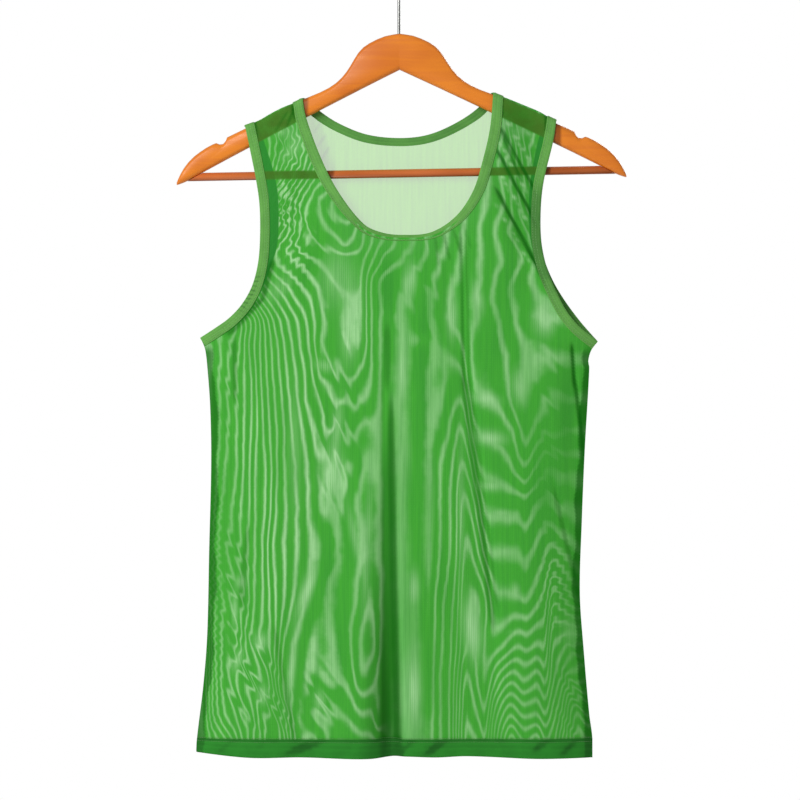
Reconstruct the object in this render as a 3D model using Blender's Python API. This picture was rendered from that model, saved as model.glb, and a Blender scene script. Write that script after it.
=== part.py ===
"""Mesh tank top hung on a flat wooden hanger.

The garment is a front and a back panel sewn at the shoulders and sides, with a neck binding, two
armhole bindings and a turned-up hem. It hangs on two wooden arms with a bar and a wire hook.
Lengths are in millimetres and become metres where a mesh is made. X runs to the right as seen from
the front, Y away from the front, Z up. The origin is where a rail touches the inside of the hook.
"""
import math
from collections import namedtuple

import bpy
import bmesh
from mathutils import Matrix, Vector
from mathutils.geometry import delaunay_2d_cdt, intersect_point_line

METRES = 0.001
FRONT, BACK = -1, 1
LEFT, RIGHT = -1, 1

# Hanger
YOKE_TOP = -85.0
HANGER_ROLL = math.radians(1.0)
ARM_THICKNESS = 12.0
ARM_CORNER = 5.0
CORNER_STEPS = 3
CORNER_SHARE_OF_HEIGHT = 0.46
CORNER_SHARE_OF_THICKNESS = 0.84
CENTRE_JOINT = 0.3
BAR_DIAMETER = 8.3
BAR_DROP = 140.0
BAR_SIDES = 20
BAR_SEAT = 0.35
WIRE_DIAMETER = 3.0
HOOK_RADIUS = 20.0
HOOK_FILLET = 8.0
HOOK_TIP_ANGLE = math.radians(205)
HOOK_FILLET_STEPS = 8
HOOK_LOOP_STEPS = 40
SHANK_IN_YOKE = 22.0
BORE_CLEARANCE = 0.3
BORE_SIDES = 16
BORE_TURN = 0.1

# Cloth
PANEL_INNER, PANEL_OUTER = 0.6, 0.6
BAND_INNER, BAND_OUTER = 0.6, 1.2
SEAM_GAP = 0.3
SHOULDER_CLEARANCE = 0.55
SIDE_DEPTH = 0.95
SIDE_EASE = 20.0
STRAP_SETTLE = 80.0
HEM_TOP = -790.5
HEM_STEPS = 26
LEAST_HEM_STEP = 2.5
GRID = 19.0
GRID_SPACING = 0.72 * GRID
GRID_MARGIN = 0.5 * GRID
CREST_SPACING = 2.0
CREST_COLUMN = 10.0
SHARP_FOLD_REACH = 16.0
FOLD_SPACING = 6.0
FOLD_MARGIN = 3.5
EDGE_STEP = 11.0
CREST_STEPS = (0.0, 2.6, 5.2, 7.8, 10.4, 14.5, 20.0)
CREST_HELD = 10.5
CREST_TURN = 34.0

ArmSection = namedtuple("ArmSection", "out top under half_thickness")
# Distance out from the middle, drops of the upper and lower edge below the yoke's top, half thickness
ARM_SECTIONS = [
    ArmSection(0.0, 0.0, 36.2, 6.0),
    ArmSection(6.0, 0.8, 39.1, 6.0),
    ArmSection(14.0, 2.3, 42.9, 6.0),
    ArmSection(22.0, 5.3, 46.8, 6.0),
    ArmSection(30.0, 9.2, 50.7, 6.0),
    ArmSection(36.0, 13.2, 53.6, 6.0),
    ArmSection(41.0, 18.4, 56.0, 6.0),
    ArmSection(45.0, 24.4, 58.0, 6.0),
    ArmSection(49.0, 31.0, 60.0, 6.0),
    ArmSection(53.0, 37.0, 61.9, 6.0),
    ArmSection(58.0, 43.0, 64.4, 6.0),
    ArmSection(64.0, 48.4, 67.3, 6.0),
    ArmSection(71.0, 53.0, 70.8, 6.0),
    ArmSection(80.0, 57.4, 75.2, 6.0),
    ArmSection(95.0, 63.3, 82.7, 6.0),
    ArmSection(125.0, 77.7, 97.8, 6.0),
    ArmSection(155.0, 92.1, 113.0, 6.0),
    ArmSection(174.0, 100.9, 122.7, 6.0),
    ArmSection(175.4, 104.4, 123.4, 6.0),
    ArmSection(178.0, 107.4, 124.8, 6.0),
    ArmSection(181.5, 107.9, 126.6, 6.0),
    ArmSection(185.0, 106.4, 128.4, 6.0),
    ArmSection(189.0, 107.9, 130.5, 6.0),
    ArmSection(195.0, 111.0, 133.6, 6.0),
    ArmSection(201.0, 114.8, 136.8, 6.0),
    ArmSection(207.0, 119.2, 140.0, 6.0),
    ArmSection(213.0, 124.9, 143.1, 5.9),
    ArmSection(218.0, 131.3, 145.4, 5.5),
    ArmSection(221.5, 137.2, 146.6, 4.8),
    ArmSection(223.8, 142.0, 147.3, 3.8),
    ArmSection(225.2, 145.4, 147.6, 2.4),
]

# Height and x of the garment's side edges, from the hem to the armpit
SIDE_EDGE = {
    LEFT: [
        (-806.0, -203.0), (-789.0, -202.0), (-739.0, -196.0), (-688.0, -192.0), (-602.0, -190.0),
        (-515.0, -188.0), (-458.0, -189.0), (-417.0, -192.0), (-404.0, -193.5), (-398.0, -195.0),
        (-389.5, -199.0),
    ],
    RIGHT: [
        (-811.0, 192.0), (-791.0, 193.5), (-767.0, 190.5), (-704.0, 185.0), (-645.0, 181.0),
        (-573.0, 183.0), (-501.0, 186.0), (-420.0, 190.5), (-412.5, 189.5), (-402.0, 192.5),
        (-393.0, 199.0),
    ],
}
ARMPIT = {LEFT: (-199.0, -389.5), RIGHT: (199.0, -393.0)}

# X and height of the hem's lower edge
HEM_EDGE = [
    (-203.0, -804.5), (-149.0, -809.0), (-98.0, -808.5), (-30.0, -810.0), (1.0, -807.5),
    (38.0, -808.5), (68.0, -807.5), (135.0, -810.0), (193.0, -810.0),
]

# Free edge of the neck binding between its shoulder ends, which lie on the hanger's crest
NECK_CREST = {LEFT: -97.0, RIGHT: 94.5}
NECK_EDGE = {
    FRONT: [
        (-93.0, -169.0), (-76.0, -214.5), (-58.5, -247.0), (-35.0, -276.0), (-18.0, -284.0),
        (2.0, -286.6), (32.0, -284.0), (57.0, -268.0), (74.0, -243.0), (83.0, -215.0),
        (91.0, -180.0),
    ],
    BACK: [(-78.0, -163.0), (-59.0, -175.0), (-32.0, -185.5), (0.0, -189.0), (28.0, -186.0),
           (55.0, -175.0), (79.0, -159.0)],
}

# Free edge of the armhole bindings from the hanger's crest down to the armpit
ARMHOLE_CREST = {LEFT: -155.0, RIGHT: 158.0}
ARMHOLE_EDGE = {
    (LEFT, FRONT): [
        (-151.5, -190.0), (-143.0, -232.0), (-139.5, -257.5), (-139.0, -289.0), (-141.0, -315.0),
        (-147.0, -338.0), (-157.0, -356.0), (-170.0, -370.0), (-184.0, -380.0),
    ],
    (LEFT, BACK): [
        (-146.5, -190.0), (-133.5, -232.0), (-130.5, -251.0), (-131.0, -293.0), (-137.0, -314.0),
        (-145.5, -337.0), (-158.0, -359.0), (-173.0, -373.0),
    ],
    (RIGHT, FRONT): [
        (154.5, -192.0), (145.0, -232.0), (142.0, -257.5), (142.0, -289.0), (145.5, -311.0),
        (152.0, -331.5), (161.0, -351.0), (169.0, -365.0), (181.0, -379.0),
    ],
    (RIGHT, BACK): [
        (149.5, -192.0), (141.5, -232.0), (139.5, -257.0), (141.0, -289.0), (146.0, -311.0),
        (154.0, -331.0), (165.0, -350.0), (181.0, -372.0),
    ],
}

# Share of the way along a binding and its width there
NECK_WIDTH = {
    FRONT: [(0.0, 10.6), (0.25, 10.4), (0.42, 7.2), (0.5, 6.0), (0.58, 7.0), (0.75, 10.4), (1.0, 10.8)],
    BACK: [(0.0, 10.6), (0.2, 8.6), (0.8, 8.6), (1.0, 10.8)],
}
ARMHOLE_WIDTH = [(0.0, 10.0), (0.5, 9.6), (1.0, 9.6)]
# The bottom of the front neck binding leans back by this much at its free edge
NECK_LEAN = [(0.3, 0.0), (0.5, 6.0), (0.7, 0.0)]

# How far each panel hangs out from the hanger's plane, by height
PANEL_DEPTH = {
    FRONT: [(-810.0, 16.0), (-600.0, 13.0), (-450.0, 11.0), (-300.0, 8.6), (-150.0, 7.0)],
    BACK: [(-810.0, 13.5), (-600.0, 11.5), (-450.0, 9.5), (-300.0, 7.8), (-150.0, 7.0)],
}

# X along the crest of the hanger and how far the cloth's soft waves stand above their lowest place
CREST_WAVE = [
    (-155.0, 1.6), (-145.0, 0.5), (-137.0, 0.4), (-129.0, 1.2), (-116.0, 1.3), (-106.0, 0.2),
    (-92.0, 0.0), (90.0, 0.0), (106.0, 1.2), (120.0, 2.0), (141.0, 2.8), (149.0, 1.8), (158.0, 1.6),
]

Fold = namedtuple(
    "Fold",
    "name side top_x top_z bottom_x bottom_z top_height bottom_height reach_left reach_right fade")
# A fold runs straight from its top to its bottom; a positive height stands out from the panel
FOLDS = [
    Fold("middle ridge", FRONT, -22, -440, -46, -812, 0.0, 7.5, 40, 26, 60),
    Fold("middle crease", FRONT, -14, -440, -8, -812, 0.0, -9.0, 13, 8, 60),
    Fold("crease's right lip", FRONT, -2, -440, 9, -812, 0.0, 6.0, 9, 40, 60),
    Fold("chest crease", FRONT, 52, -300, 94, -680, -2.5, -2.0, 14, 8, 70),
    Fold("chest ridge", FRONT, 66, -300, 112, -760, 2.6, 3.2, 12, 46, 80),
    Fold("right strap fold", FRONT, 90, -200, 138, -345, -2.6, -2.2, 10, 9, 30),
    Fold("left strap fold", FRONT, -84, -215, -128, -330, -1.8, -1.4, 12, 12, 40),
    Fold("right side crease", FRONT, 174, -408, 188, -720, -4.0, -1.0, 12, 7, 50),
    Fold("left swell", FRONT, -112, -430, -136, -812, 2.0, 4.5, 34, 40, 90),
    Fold("right swell", FRONT, 128, -480, 138, -812, 1.0, 4.0, 26, 30, 90),
    Fold("back middle ridge", BACK, 20, -420, 44, -812, 0.0, 6.5, 44, 30, 60),
    Fold("back middle crease", BACK, 2, -420, 8, -812, 0.0, -6.0, 16, 12, 60),
    Fold("back left swell", BACK, -96, -330, -118, -812, 2.0, 5.0, 40, 34, 90),
    Fold("back right swell", BACK, 112, -360, 128, -812, 1.5, 4.0, 32, 40, 90),
    Fold("back strap fold", BACK, -92, -230, -40, -420, -2.0, -1.6, 16, 12, 60),
]

Finish = namedtuple("Finish", "colour roughness metallic")
FINISHES = {
    "mesh": Finish((0.119, 0.445, 0.091), 0.75, 0.0),
    "binding": Finish((0.140, 0.376, 0.083), 0.7, 0.0),
    "hem": Finish((0.026, 0.202, 0.026), 0.75, 0.0),
    "wood": Finish((0.791, 0.238, 0.040), 0.35, 0.0),
    "bar": Finish((0.521, 0.150, 0.039), 0.35, 0.0),
    "steel": Finish((0.42, 0.43, 0.41), 0.3, 1.0),
}


def smooth_value(rows, at):
    """The value at a key on a smooth curve through (key, value) rows, level beyond both ends."""
    if at <= rows[0][0]:
        return rows[0][1]
    if at >= rows[-1][0]:
        return rows[-1][1]
    i = max(k for k in range(len(rows) - 1) if rows[k][0] <= at)

    def slope(k):
        low, high = max(k - 1, 0), min(k + 1, len(rows) - 1)
        return (rows[high][1] - rows[low][1]) / (rows[high][0] - rows[low][0])

    (start, first), (end, last) = rows[i], rows[i + 1]
    span = end - start
    t = (at - start) / span
    return ((2 * t**3 - 3 * t**2 + 1) * first + (t**3 - 2 * t**2 + t) * span * slope(i)
            + (3 * t**2 - 2 * t**3) * last + (t**3 - t**2) * span * slope(i + 1))


def straight_value(keys, values, at):
    """The value at a key on straight lines through rising keys."""
    for k in range(len(keys) - 1):
        if at <= keys[k + 1] or k == len(keys) - 2:
            share = (at - keys[k]) / (keys[k + 1] - keys[k])
            return values[k] + share * (values[k + 1] - values[k])


def ease(t):
    """A smooth step from 0 to 1."""
    t = min(max(t, 0.0), 1.0)
    return t * t * (3 - 2 * t)


def arm_top_height(x):
    """Height of the wood's upper edge at an x, with the hanger rolled about the yoke's top."""
    outs = [row.out for row in ARM_SECTIONS]
    tops = [row.top for row in ARM_SECTIONS]
    out = abs(x)
    for _ in range(4):
        drop = straight_value(outs, tops, out)
        out = abs(x - drop * math.sin(HANGER_ROLL))
    local_x = math.copysign(out, x)
    return YOKE_TOP - drop * math.cos(HANGER_ROLL) + local_x * math.sin(HANGER_ROLL)


CREST_FLAT = ARM_THICKNESS / 2 - ARM_CORNER
CREST_BEND = ARM_CORNER + SHOULDER_CLEARANCE + PANEL_INNER
SHOULDER_DEPTH = CREST_FLAT + CREST_BEND


def bend_start(x):
    """Height at which the cloth leaves the upright and bends over the arm."""
    crest = arm_top_height(x) + SHOULDER_CLEARANCE + PANEL_INNER + smooth_value(CREST_WAVE, x)
    return crest - CREST_BEND


def shoulder_height(x):
    """Flat height of the shoulder seam, which is the cloth's way up to the middle of the crest."""
    return bend_start(x) + CREST_BEND * math.pi / 2 + CREST_FLAT


def edge_distance(x, z):
    """Distance from the nearer side edge, measured from the armpit above it."""
    distances = []
    for hand in (LEFT, RIGHT):
        corner_x, corner_z = ARMPIT[hand]
        edge_x = smooth_value(SIDE_EDGE[hand], z)
        beside = (edge_x - x) * hand
        distances.append(beside if z < corner_z else math.hypot(x - corner_x, z - corner_z))
    return max(min(distances), 0.0)


def fold_height(x, z, side):
    """Sum of the folds' heights at a place on one panel."""
    total = 0.0
    for fold in FOLDS:
        if fold.side != side:
            continue
        length = fold.top_z - fold.bottom_z
        share = (fold.top_z - z) / length
        ends = ease((fold.top_z + fold.fade / 2 - z) / fold.fade)
        if fold.bottom_z > HEM_TOP:
            ends *= ease((z - fold.bottom_z + fold.fade / 2) / fold.fade)
        held = min(max(share, -fold.fade / length), 1.0 + fold.fade / length)
        middle = fold.top_x + held * (fold.bottom_x - fold.top_x)
        height = fold.top_height + ease(held) * (fold.bottom_height - fold.top_height)
        reach = fold.reach_left if x < middle else fold.reach_right
        total += height * ends * math.exp(-((x - middle) / reach)**2)
    return total


def sheet_depth(x, z, side):
    """How far the middle of a panel's wall lies from the hanger's plane."""
    out = smooth_value(PANEL_DEPTH[side], z) + fold_height(x, z, side)
    taper = 1 - math.exp(-edge_distance(x, z) / SIDE_EASE)
    free = SIDE_DEPTH + (out - SIDE_DEPTH) * taper
    return SHOULDER_DEPTH + (free - SHOULDER_DEPTH) * ease((bend_start(x) - z) / STRAP_SETTLE)


def hang(x, flat_z, side):
    """Place a point of the flat cut on the hanging garment."""
    start = bend_start(x)
    rise = flat_z - start
    if rise <= 0:
        return Vector((x, side * sheet_depth(x, flat_z, side), flat_z))
    angle = min(rise / CREST_BEND, math.pi / 2)
    past = max(rise - CREST_BEND * math.pi / 2, 0.0)
    y = CREST_FLAT + CREST_BEND * math.cos(angle) - past
    return Vector((x, side * y, start + CREST_BEND * math.sin(angle)))


def hang_normal(x, flat_z, side):
    """Outward direction of the hanging cloth."""
    step = 0.2
    across = hang(x + step, flat_z, side) - hang(x - step, flat_z, side)
    up = hang(x, flat_z + step, side) - hang(x, flat_z - step, side)
    return across.cross(up).normalized() * -side


def curve_through(points, steps_at_start, steps_at_end):
    """Points along a smooth curve through flat points, close together near a crest end."""
    keys = [0.0]
    for a, b in zip(points, points[1:]):
        keys.append(keys[-1] + math.dist(a, b))
    length = keys[-1]
    marks = set()
    first = CREST_STEPS[-1] if steps_at_start else 0.0
    last = length - (CREST_STEPS[-1] if steps_at_end else 0.0)
    if steps_at_start:
        marks.update(CREST_STEPS)
    if steps_at_end:
        marks.update(length - step for step in CREST_STEPS)
    count = max(1, round((last - first) / EDGE_STEP))
    marks.update(first + (last - first) * k / count for k in range(count + 1))
    marks = sorted(marks)
    marks = [mark for k, mark in enumerate(marks) if k == 0 or mark - marks[k - 1] > 0.5]
    column_x = list(zip(keys, (p[0] for p in points)))
    column_z = list(zip(keys, (p[1] for p in points)))
    places = [Vector((smooth_value(column_x, mark), smooth_value(column_z, mark))) for mark in marks]
    return places, marks, length


def crest_place(x):
    """The flat place on the shoulder seam at an x."""
    return (x, shoulder_height(x))


def edge_stations(points, widths, cloth_side, crest_at_start, crest_at_end, extra=0.0):
    """Free and sewn places of a binding along one flat edge, with the share of the way along it.

    cloth_side is 1 where the cloth lies to the right of the way along the edge, else -1."""
    places, marks, length = curve_through(points, crest_at_start, crest_at_end)
    stations = []
    for k, place in enumerate(places):
        ahead = places[min(k + 1, len(places) - 1)]
        behind = places[max(k - 1, 0)]
        along = (ahead - behind).normalized()
        across = Vector((along.y, -along.x)) * cloth_side
        share = marks[k] / length
        width = smooth_value(widths, share) + extra
        crest_distance = min(marks[k] if crest_at_start else length,
                             length - marks[k] if crest_at_end else length)
        slope = (shoulder_height(place.x + 1) - shoulder_height(place.x - 1)) / 2
        shoulder = Vector((1, slope)).normalized()
        shoulder *= math.copysign(1, shoulder.dot(across))
        turn = ease((CREST_TURN - crest_distance) / (CREST_TURN - CREST_HELD))
        across = across.lerp(shoulder, turn).normalized()
        sewn = place + across * width
        if crest_distance < 0.01:
            sewn = Vector(crest_place(place.x + shoulder.x * width))
        stations.append((place, sewn, share))
    return stations


def neck_points(side):
    return [crest_place(NECK_CREST[LEFT]), *NECK_EDGE[side], crest_place(NECK_CREST[RIGHT])]


def armhole_points(hand, side):
    return [crest_place(ARMHOLE_CREST[hand]), *ARMHOLE_EDGE[hand, side], ARMPIT[hand]]


def neck_stations(side, extra=0.0):
    return edge_stations(neck_points(side), NECK_WIDTH[side], 1, True, True, extra)


def armhole_stations(hand, side, extra=0.0):
    return edge_stations(armhole_points(hand, side), ARMHOLE_WIDTH, hand, True, False, extra)


def hem_edge_height(x):
    return smooth_value(HEM_EDGE, x)


def hem_stations(side):
    """Lower and upper places of the turned-up hem from the left edge to the right edge."""
    left = smooth_value(SIDE_EDGE[LEFT], HEM_TOP)
    right = smooth_value(SIDE_EDGE[RIGHT], HEM_TOP)
    marks = {left + (right - left) * k / HEM_STEPS for k in range(HEM_STEPS + 1)}
    marks.update(fold.bottom_x for fold in FOLDS if fold.side == side and fold.bottom_z < HEM_TOP)
    xs = [left]
    for mark in sorted(marks):
        if xs[-1] + LEAST_HEM_STEP < mark < right - LEAST_HEM_STEP:
            xs.append(mark)
    xs.append(right)
    return [(Vector((x, hem_edge_height(x))), Vector((x, HEM_TOP)), 0.0) for x in xs]


def finish(name):
    """The material of one finish, made once."""
    if name in bpy.data.materials:
        return bpy.data.materials[name]
    material = bpy.data.materials.new(name)
    material.use_nodes = True
    shader = material.node_tree.nodes["Principled BSDF"]
    row = FINISHES[name]
    shader.inputs["Base Color"].default_value = (*row.colour, 1.0)
    shader.inputs["Roughness"].default_value = row.roughness
    shader.inputs["Metallic"].default_value = row.metallic
    return material


def add_object(name, points, faces, finish_name):
    """A named mesh object from points in millimetres, with its faces turned outwards."""
    mesh = bpy.data.meshes.new(name)
    mesh.from_pydata([Vector(p) * METRES for p in points], [], faces)
    shape = bmesh.new()
    shape.from_mesh(mesh)
    bmesh.ops.recalc_face_normals(shape, faces=shape.faces)
    shape.to_mesh(mesh)
    shape.free()
    mesh.shade_smooth()
    mesh.set_sharp_from_angle(angle=math.radians(40))
    mesh.materials.append(finish(finish_name))
    thing = bpy.data.objects.new(name, mesh)
    bpy.context.scene.collection.objects.link(thing)
    return thing


def loft(rings, closed):
    """Points and faces of a solid through rings with as many points each."""
    size = len(rings[0])
    points = [p for ring in rings for p in ring]
    faces = []
    count = len(rings)
    for k in range(count if closed else count - 1):
        a, b = k * size, (k + 1) % count * size
        faces += [(a + j, a + (j + 1) % size, b + (j + 1) % size, b + j) for j in range(size)]
    if not closed:
        faces.append(tuple(range(size)))
        faces.append(tuple(range((count - 1) * size, count * size)))
    return points, faces


def band_ring(station, side, inner, outer, lean=0.0):
    """Four corners of a band's section at one station."""
    free, sewn, _ = station
    corners = []
    for place, back in ((free, lean), (sewn, 0.0)):
        middle = hang(place.x, place.y, side) + Vector((0, back, 0))
        normal = hang_normal(place.x, place.y, side)
        corners.append((middle - normal * inner, middle + normal * outer))
    (free_in, free_out), (sewn_in, sewn_out) = corners
    return [free_in, free_out, sewn_out, sewn_in]


def add_neck_binding():
    rings = []
    for station in neck_stations(FRONT):
        lean = smooth_value(NECK_LEAN, station[2])
        rings.append(band_ring(station, FRONT, BAND_INNER, BAND_OUTER, lean))
    for station in reversed(neck_stations(BACK)[1:-1]):
        rings.append(band_ring(station, BACK, BAND_INNER, BAND_OUTER))
    return add_object("neck_binding", *loft(rings, True), "binding")


def add_armhole_binding(hand, name):
    """A strip from the armpit up the front, over the shoulder and down the back to the armpit."""
    front = [band_ring(s, FRONT, BAND_INNER, BAND_OUTER) for s in armhole_stations(hand, FRONT)]
    back = [band_ring(s, BACK, BAND_INNER, BAND_OUTER) for s in armhole_stations(hand, BACK)]
    return add_object(name, *loft(list(reversed(front)) + back[1:], False), "binding")


def add_hem(side, name):
    rings = [band_ring(s, side, BAND_INNER, BAND_OUTER) for s in hem_stations(side)]
    return add_object(name, *loft(rings, False), "hem")


def shoulder_edge(first_x, last_x):
    """Flat places along a shoulder seam between two x, without its ends."""
    count = max(2, round(abs(last_x - first_x) / EDGE_STEP))
    xs = [first_x + (last_x - first_x) * k / count for k in range(1, count)]
    return [Vector((x, shoulder_height(x) - SEAM_GAP / 2)) for x in xs]


def panel_outline(side):
    """The flat cut of a panel inside its bindings and hem, from the hem's left end round."""
    below = SEAM_GAP + HEM_TOP
    neck = [station[1] for station in neck_stations(side, SEAM_GAP)]
    holes = {hand: [s[1] for s in armhole_stations(hand, side, SEAM_GAP)] for hand in (LEFT, RIGHT)}
    for edge in (neck, *holes.values()):
        for place in edge:
            place.y = min(place.y, shoulder_height(place.x) - SEAM_GAP / 2)
    outline = [Vector((s[0].x, below)) for s in hem_stations(side)]
    sides = {}
    for hand in (LEFT, RIGHT):
        corner = holes[hand][-1]
        along = corner - holes[hand][-2]
        for _ in range(3):
            corner += along * ((smooth_value(SIDE_EDGE[hand], corner.y) - corner.x) / along.x)
        top = corner.y - 3.0
        count = round((top - below) / GRID)
        heights = [below + (top - below) * k / count for k in range(1, count + 1)]
        sides[hand] = [Vector((smooth_value(SIDE_EDGE[hand], z), z)) for z in heights]
    outline += sides[RIGHT]
    outline += list(reversed(holes[RIGHT]))
    outline += shoulder_edge(holes[RIGHT][0].x, neck[-1].x)
    outline += list(reversed(neck))
    outline += shoulder_edge(neck[0].x, holes[LEFT][0].x)
    outline += holes[LEFT]
    outline += list(reversed(sides[LEFT]))
    return outline


def inside(place, outline):
    """Whether a flat place lies inside an outline."""
    hits = 0
    for a, b in zip(outline, outline[1:] + outline[:1]):
        if (a.y > place.y) != (b.y > place.y):
            hits += place.x < a.x + (place.y - a.y) / (b.y - a.y) * (b.x - a.x)
    return hits % 2 == 1


def outline_distance(place, outline):
    """Distance from a flat place to the nearest edge of an outline."""
    nearest = math.inf
    for a, b in zip(outline, outline[1:] + outline[:1]):
        foot, share = intersect_point_line(place, a, b)
        share = min(max(share, 0.0), 1.0)
        nearest = min(nearest, (place - (a + (b - a) * share)).length)
    return nearest


def panel_places(side, outline):
    """Places inside a panel: rows under the shoulders, lines along the sharp folds, then a grid."""
    wanted = []
    for hand in (LEFT, RIGHT):
        low, high = sorted((NECK_CREST[hand], ARMHOLE_CREST[hand]))
        count = round((high - low) / CREST_COLUMN)
        slope = (shoulder_height(high) - shoulder_height(low)) / (high - low)
        for k in range(count + 1):
            for step in CREST_STEPS[1:]:
                x = low + (high - low) * k / count + step * slope / (1 + slope**2)
                wanted.append((Vector((x, shoulder_height(x) - step)), CREST_SPACING, CREST_SPACING))
    for fold in FOLDS:
        if fold.side != side or min(fold.reach_left, fold.reach_right) > SHARP_FOLD_REACH:
            continue
        count = round((fold.top_z - fold.bottom_z) / GRID)
        for k in range(count + 1):
            share = k / count
            x = fold.top_x + (fold.bottom_x - fold.top_x) * share
            z = fold.top_z + (fold.bottom_z - fold.top_z) * share
            for shift in (-fold.reach_left, 0.0, fold.reach_right):
                if abs(shift) < SHARP_FOLD_REACH:
                    wanted.append((Vector((x + shift, z)), FOLD_SPACING, FOLD_MARGIN))
    left, right = min(p.x for p in outline), max(p.x for p in outline)
    bottom, top = min(p.y for p in outline), max(p.y for p in outline)
    for row in range(round((top - bottom) / GRID) + 1):
        for column in range(round((right - left) / GRID) + 1):
            shift = GRID / 2 if row % 2 else 0.0
            place = Vector((left + column * GRID + shift, bottom + row * GRID))
            wanted.append((place, GRID_SPACING, GRID_MARGIN))
    kept = []
    for place, spacing, margin in wanted:
        if not inside(place, outline) or outline_distance(place, outline) < margin:
            continue
        if all((place - other).length >= spacing for other in kept):
            kept.append(place)
    return kept


def add_panel(side, name):
    """A panel's wall: its flat cut in triangles, hung, with both faces and its cut edges."""
    outline = panel_outline(side)
    places = outline + panel_places(side, outline)
    flat, _, triangles, *_ = delaunay_2d_cdt(places, [], [list(range(len(outline)))], 1, 1e-5)
    points = []
    for place in flat:
        middle = hang(place.x, place.y, side)
        normal = hang_normal(place.x, place.y, side)
        points += [middle - normal * PANEL_INNER, middle + normal * PANEL_OUTER]
    faces = []
    edges = {}
    for triangle in triangles:
        faces.append([2 * k for k in reversed(triangle)])
        faces.append([2 * k + 1 for k in triangle])
        for a, b in zip(triangle, triangle[1:] + triangle[:1]):
            edges[a, b] = edges.get((a, b), 0) + 1
    for a, b in edges:
        if (b, a) not in edges:
            faces.append([2 * a, 2 * b, 2 * b + 1, 2 * a + 1])
    return add_object(name, points, faces, "mesh")


def arm_ring(row, hand):
    """Rounded section of a hanger arm in the hanger's own frame."""
    height = row.under - row.top
    corner = min(ARM_CORNER, CORNER_SHARE_OF_HEIGHT * height, CORNER_SHARE_OF_THICKNESS * row.half_thickness)
    quarters = [(1, 1), (-1, 1), (-1, -1), (1, -1)]
    x = hand * max(row.out, CENTRE_JOINT / 2)
    ring = []
    for quarter, (y_sign, z_sign) in enumerate(quarters):
        centre_y = y_sign * (row.half_thickness - corner)
        centre_z = -(row.top + row.under) / 2 + z_sign * (height / 2 - corner)
        for k in range(CORNER_STEPS + 1):
            angle = math.pi / 2 * (quarter + k / CORNER_STEPS)
            y = centre_y + corner * math.cos(angle)
            z = centre_z + corner * math.sin(angle)
            ring.append(Vector((x, y, z)))
    return ring


def place_on_hook(thing):
    """Put a piece of the hanger, made about the yoke's top, at its place and roll."""
    thing.location = (0, 0, YOKE_TOP * METRES)
    thing.rotation_euler = (0, -HANGER_ROLL, 0)


def add_arm(hand, name, bore):
    arm = add_object(name, *loft([arm_ring(row, hand) for row in ARM_SECTIONS], False), "wood")
    place_on_hook(arm)
    cut = arm.modifiers.new("hook bore", "BOOLEAN")
    cut.operation = "DIFFERENCE"
    cut.object = bore
    return arm


def add_bore():
    """Cutter for the hook's hole in the yoke, turned so that no edge lies on the joint's faces."""
    shape = bmesh.new()
    radius = (WIRE_DIAMETER / 2 + BORE_CLEARANCE) * METRES
    depth = 2 * (SHANK_IN_YOKE + BORE_CLEARANCE) * METRES
    place = Matrix.Translation((0, 0, YOKE_TOP * METRES)) @ Matrix.Rotation(BORE_TURN, 4, "Z")
    bmesh.ops.create_cone(shape, cap_ends=True, segments=BORE_SIDES, radius1=radius, radius2=radius,
                          depth=depth, matrix=place)
    mesh = bpy.data.meshes.new("hook_bore")
    shape.to_mesh(mesh)
    shape.free()
    bore = bpy.data.objects.new("hook_bore", mesh)
    bore.hide_render = True
    bore.display_type = "WIRE"
    bpy.context.scene.collection.objects.link(bore)
    return bore


def add_bar():
    """Round bar whose ends are cut along the slope of the arms' lower edges."""
    outs = [row.out for row in ARM_SECTIONS]
    unders = [row.under for row in ARM_SECTIONS]
    rings = []
    for hand in (LEFT, RIGHT):
        ring = []
        for k in range(BAR_SIDES):
            angle = 2 * math.pi * k / BAR_SIDES
            drop = BAR_DROP + BAR_DIAMETER / 2 * math.sin(angle)
            reach = straight_value(unders, outs, drop - BAR_SEAT)
            ring.append(Vector((hand * reach, BAR_DIAMETER / 2 * math.cos(angle), -drop)))
        rings.append(ring)
    bar = add_object("hanger_bar", *loft(rings, False), "bar")
    place_on_hook(bar)
    return bar


def hook_route():
    """The wire's middle from inside the yoke, up the shank, round the fillet and over the loop."""
    bend = HOOK_RADIUS + WIRE_DIAMETER / 2
    fillet = HOOK_FILLET
    fillet_z = -HOOK_RADIUS - math.sqrt((bend + fillet)**2 - fillet**2)
    meet = math.atan2(fillet_z + HOOK_RADIUS, fillet)
    route = [Vector((0, 0, YOKE_TOP - SHANK_IN_YOKE)), Vector((0, 0, YOKE_TOP))]
    sweep = meet + math.pi
    for k in range(HOOK_FILLET_STEPS + 1):
        angle = math.pi + (sweep - math.pi) * k / HOOK_FILLET_STEPS
        route.append(Vector((fillet + fillet * math.cos(angle), 0, fillet_z + fillet * math.sin(angle))))
    for k in range(1, HOOK_LOOP_STEPS + 1):
        angle = meet + (HOOK_TIP_ANGLE - meet) * k / HOOK_LOOP_STEPS
        route.append(Vector((bend * math.cos(angle), 0, -HOOK_RADIUS + bend * math.sin(angle))))
    return route


def add_hook():
    curve = bpy.data.curves.new("hanger_hook", "CURVE")
    curve.dimensions = "3D"
    curve.bevel_depth = WIRE_DIAMETER / 2 * METRES
    curve.bevel_resolution = 3
    curve.use_fill_caps = True
    route = hook_route()
    spline = curve.splines.new("POLY")
    spline.points.add(len(route) - 1)
    for point, place in zip(spline.points, route):
        point.co = (*(place * METRES), 1.0)
    spline.use_smooth = True
    curve.materials.append(finish("steel"))
    hook = bpy.data.objects.new("hanger_hook", curve)
    bpy.context.scene.collection.objects.link(hook)
    return hook


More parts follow.
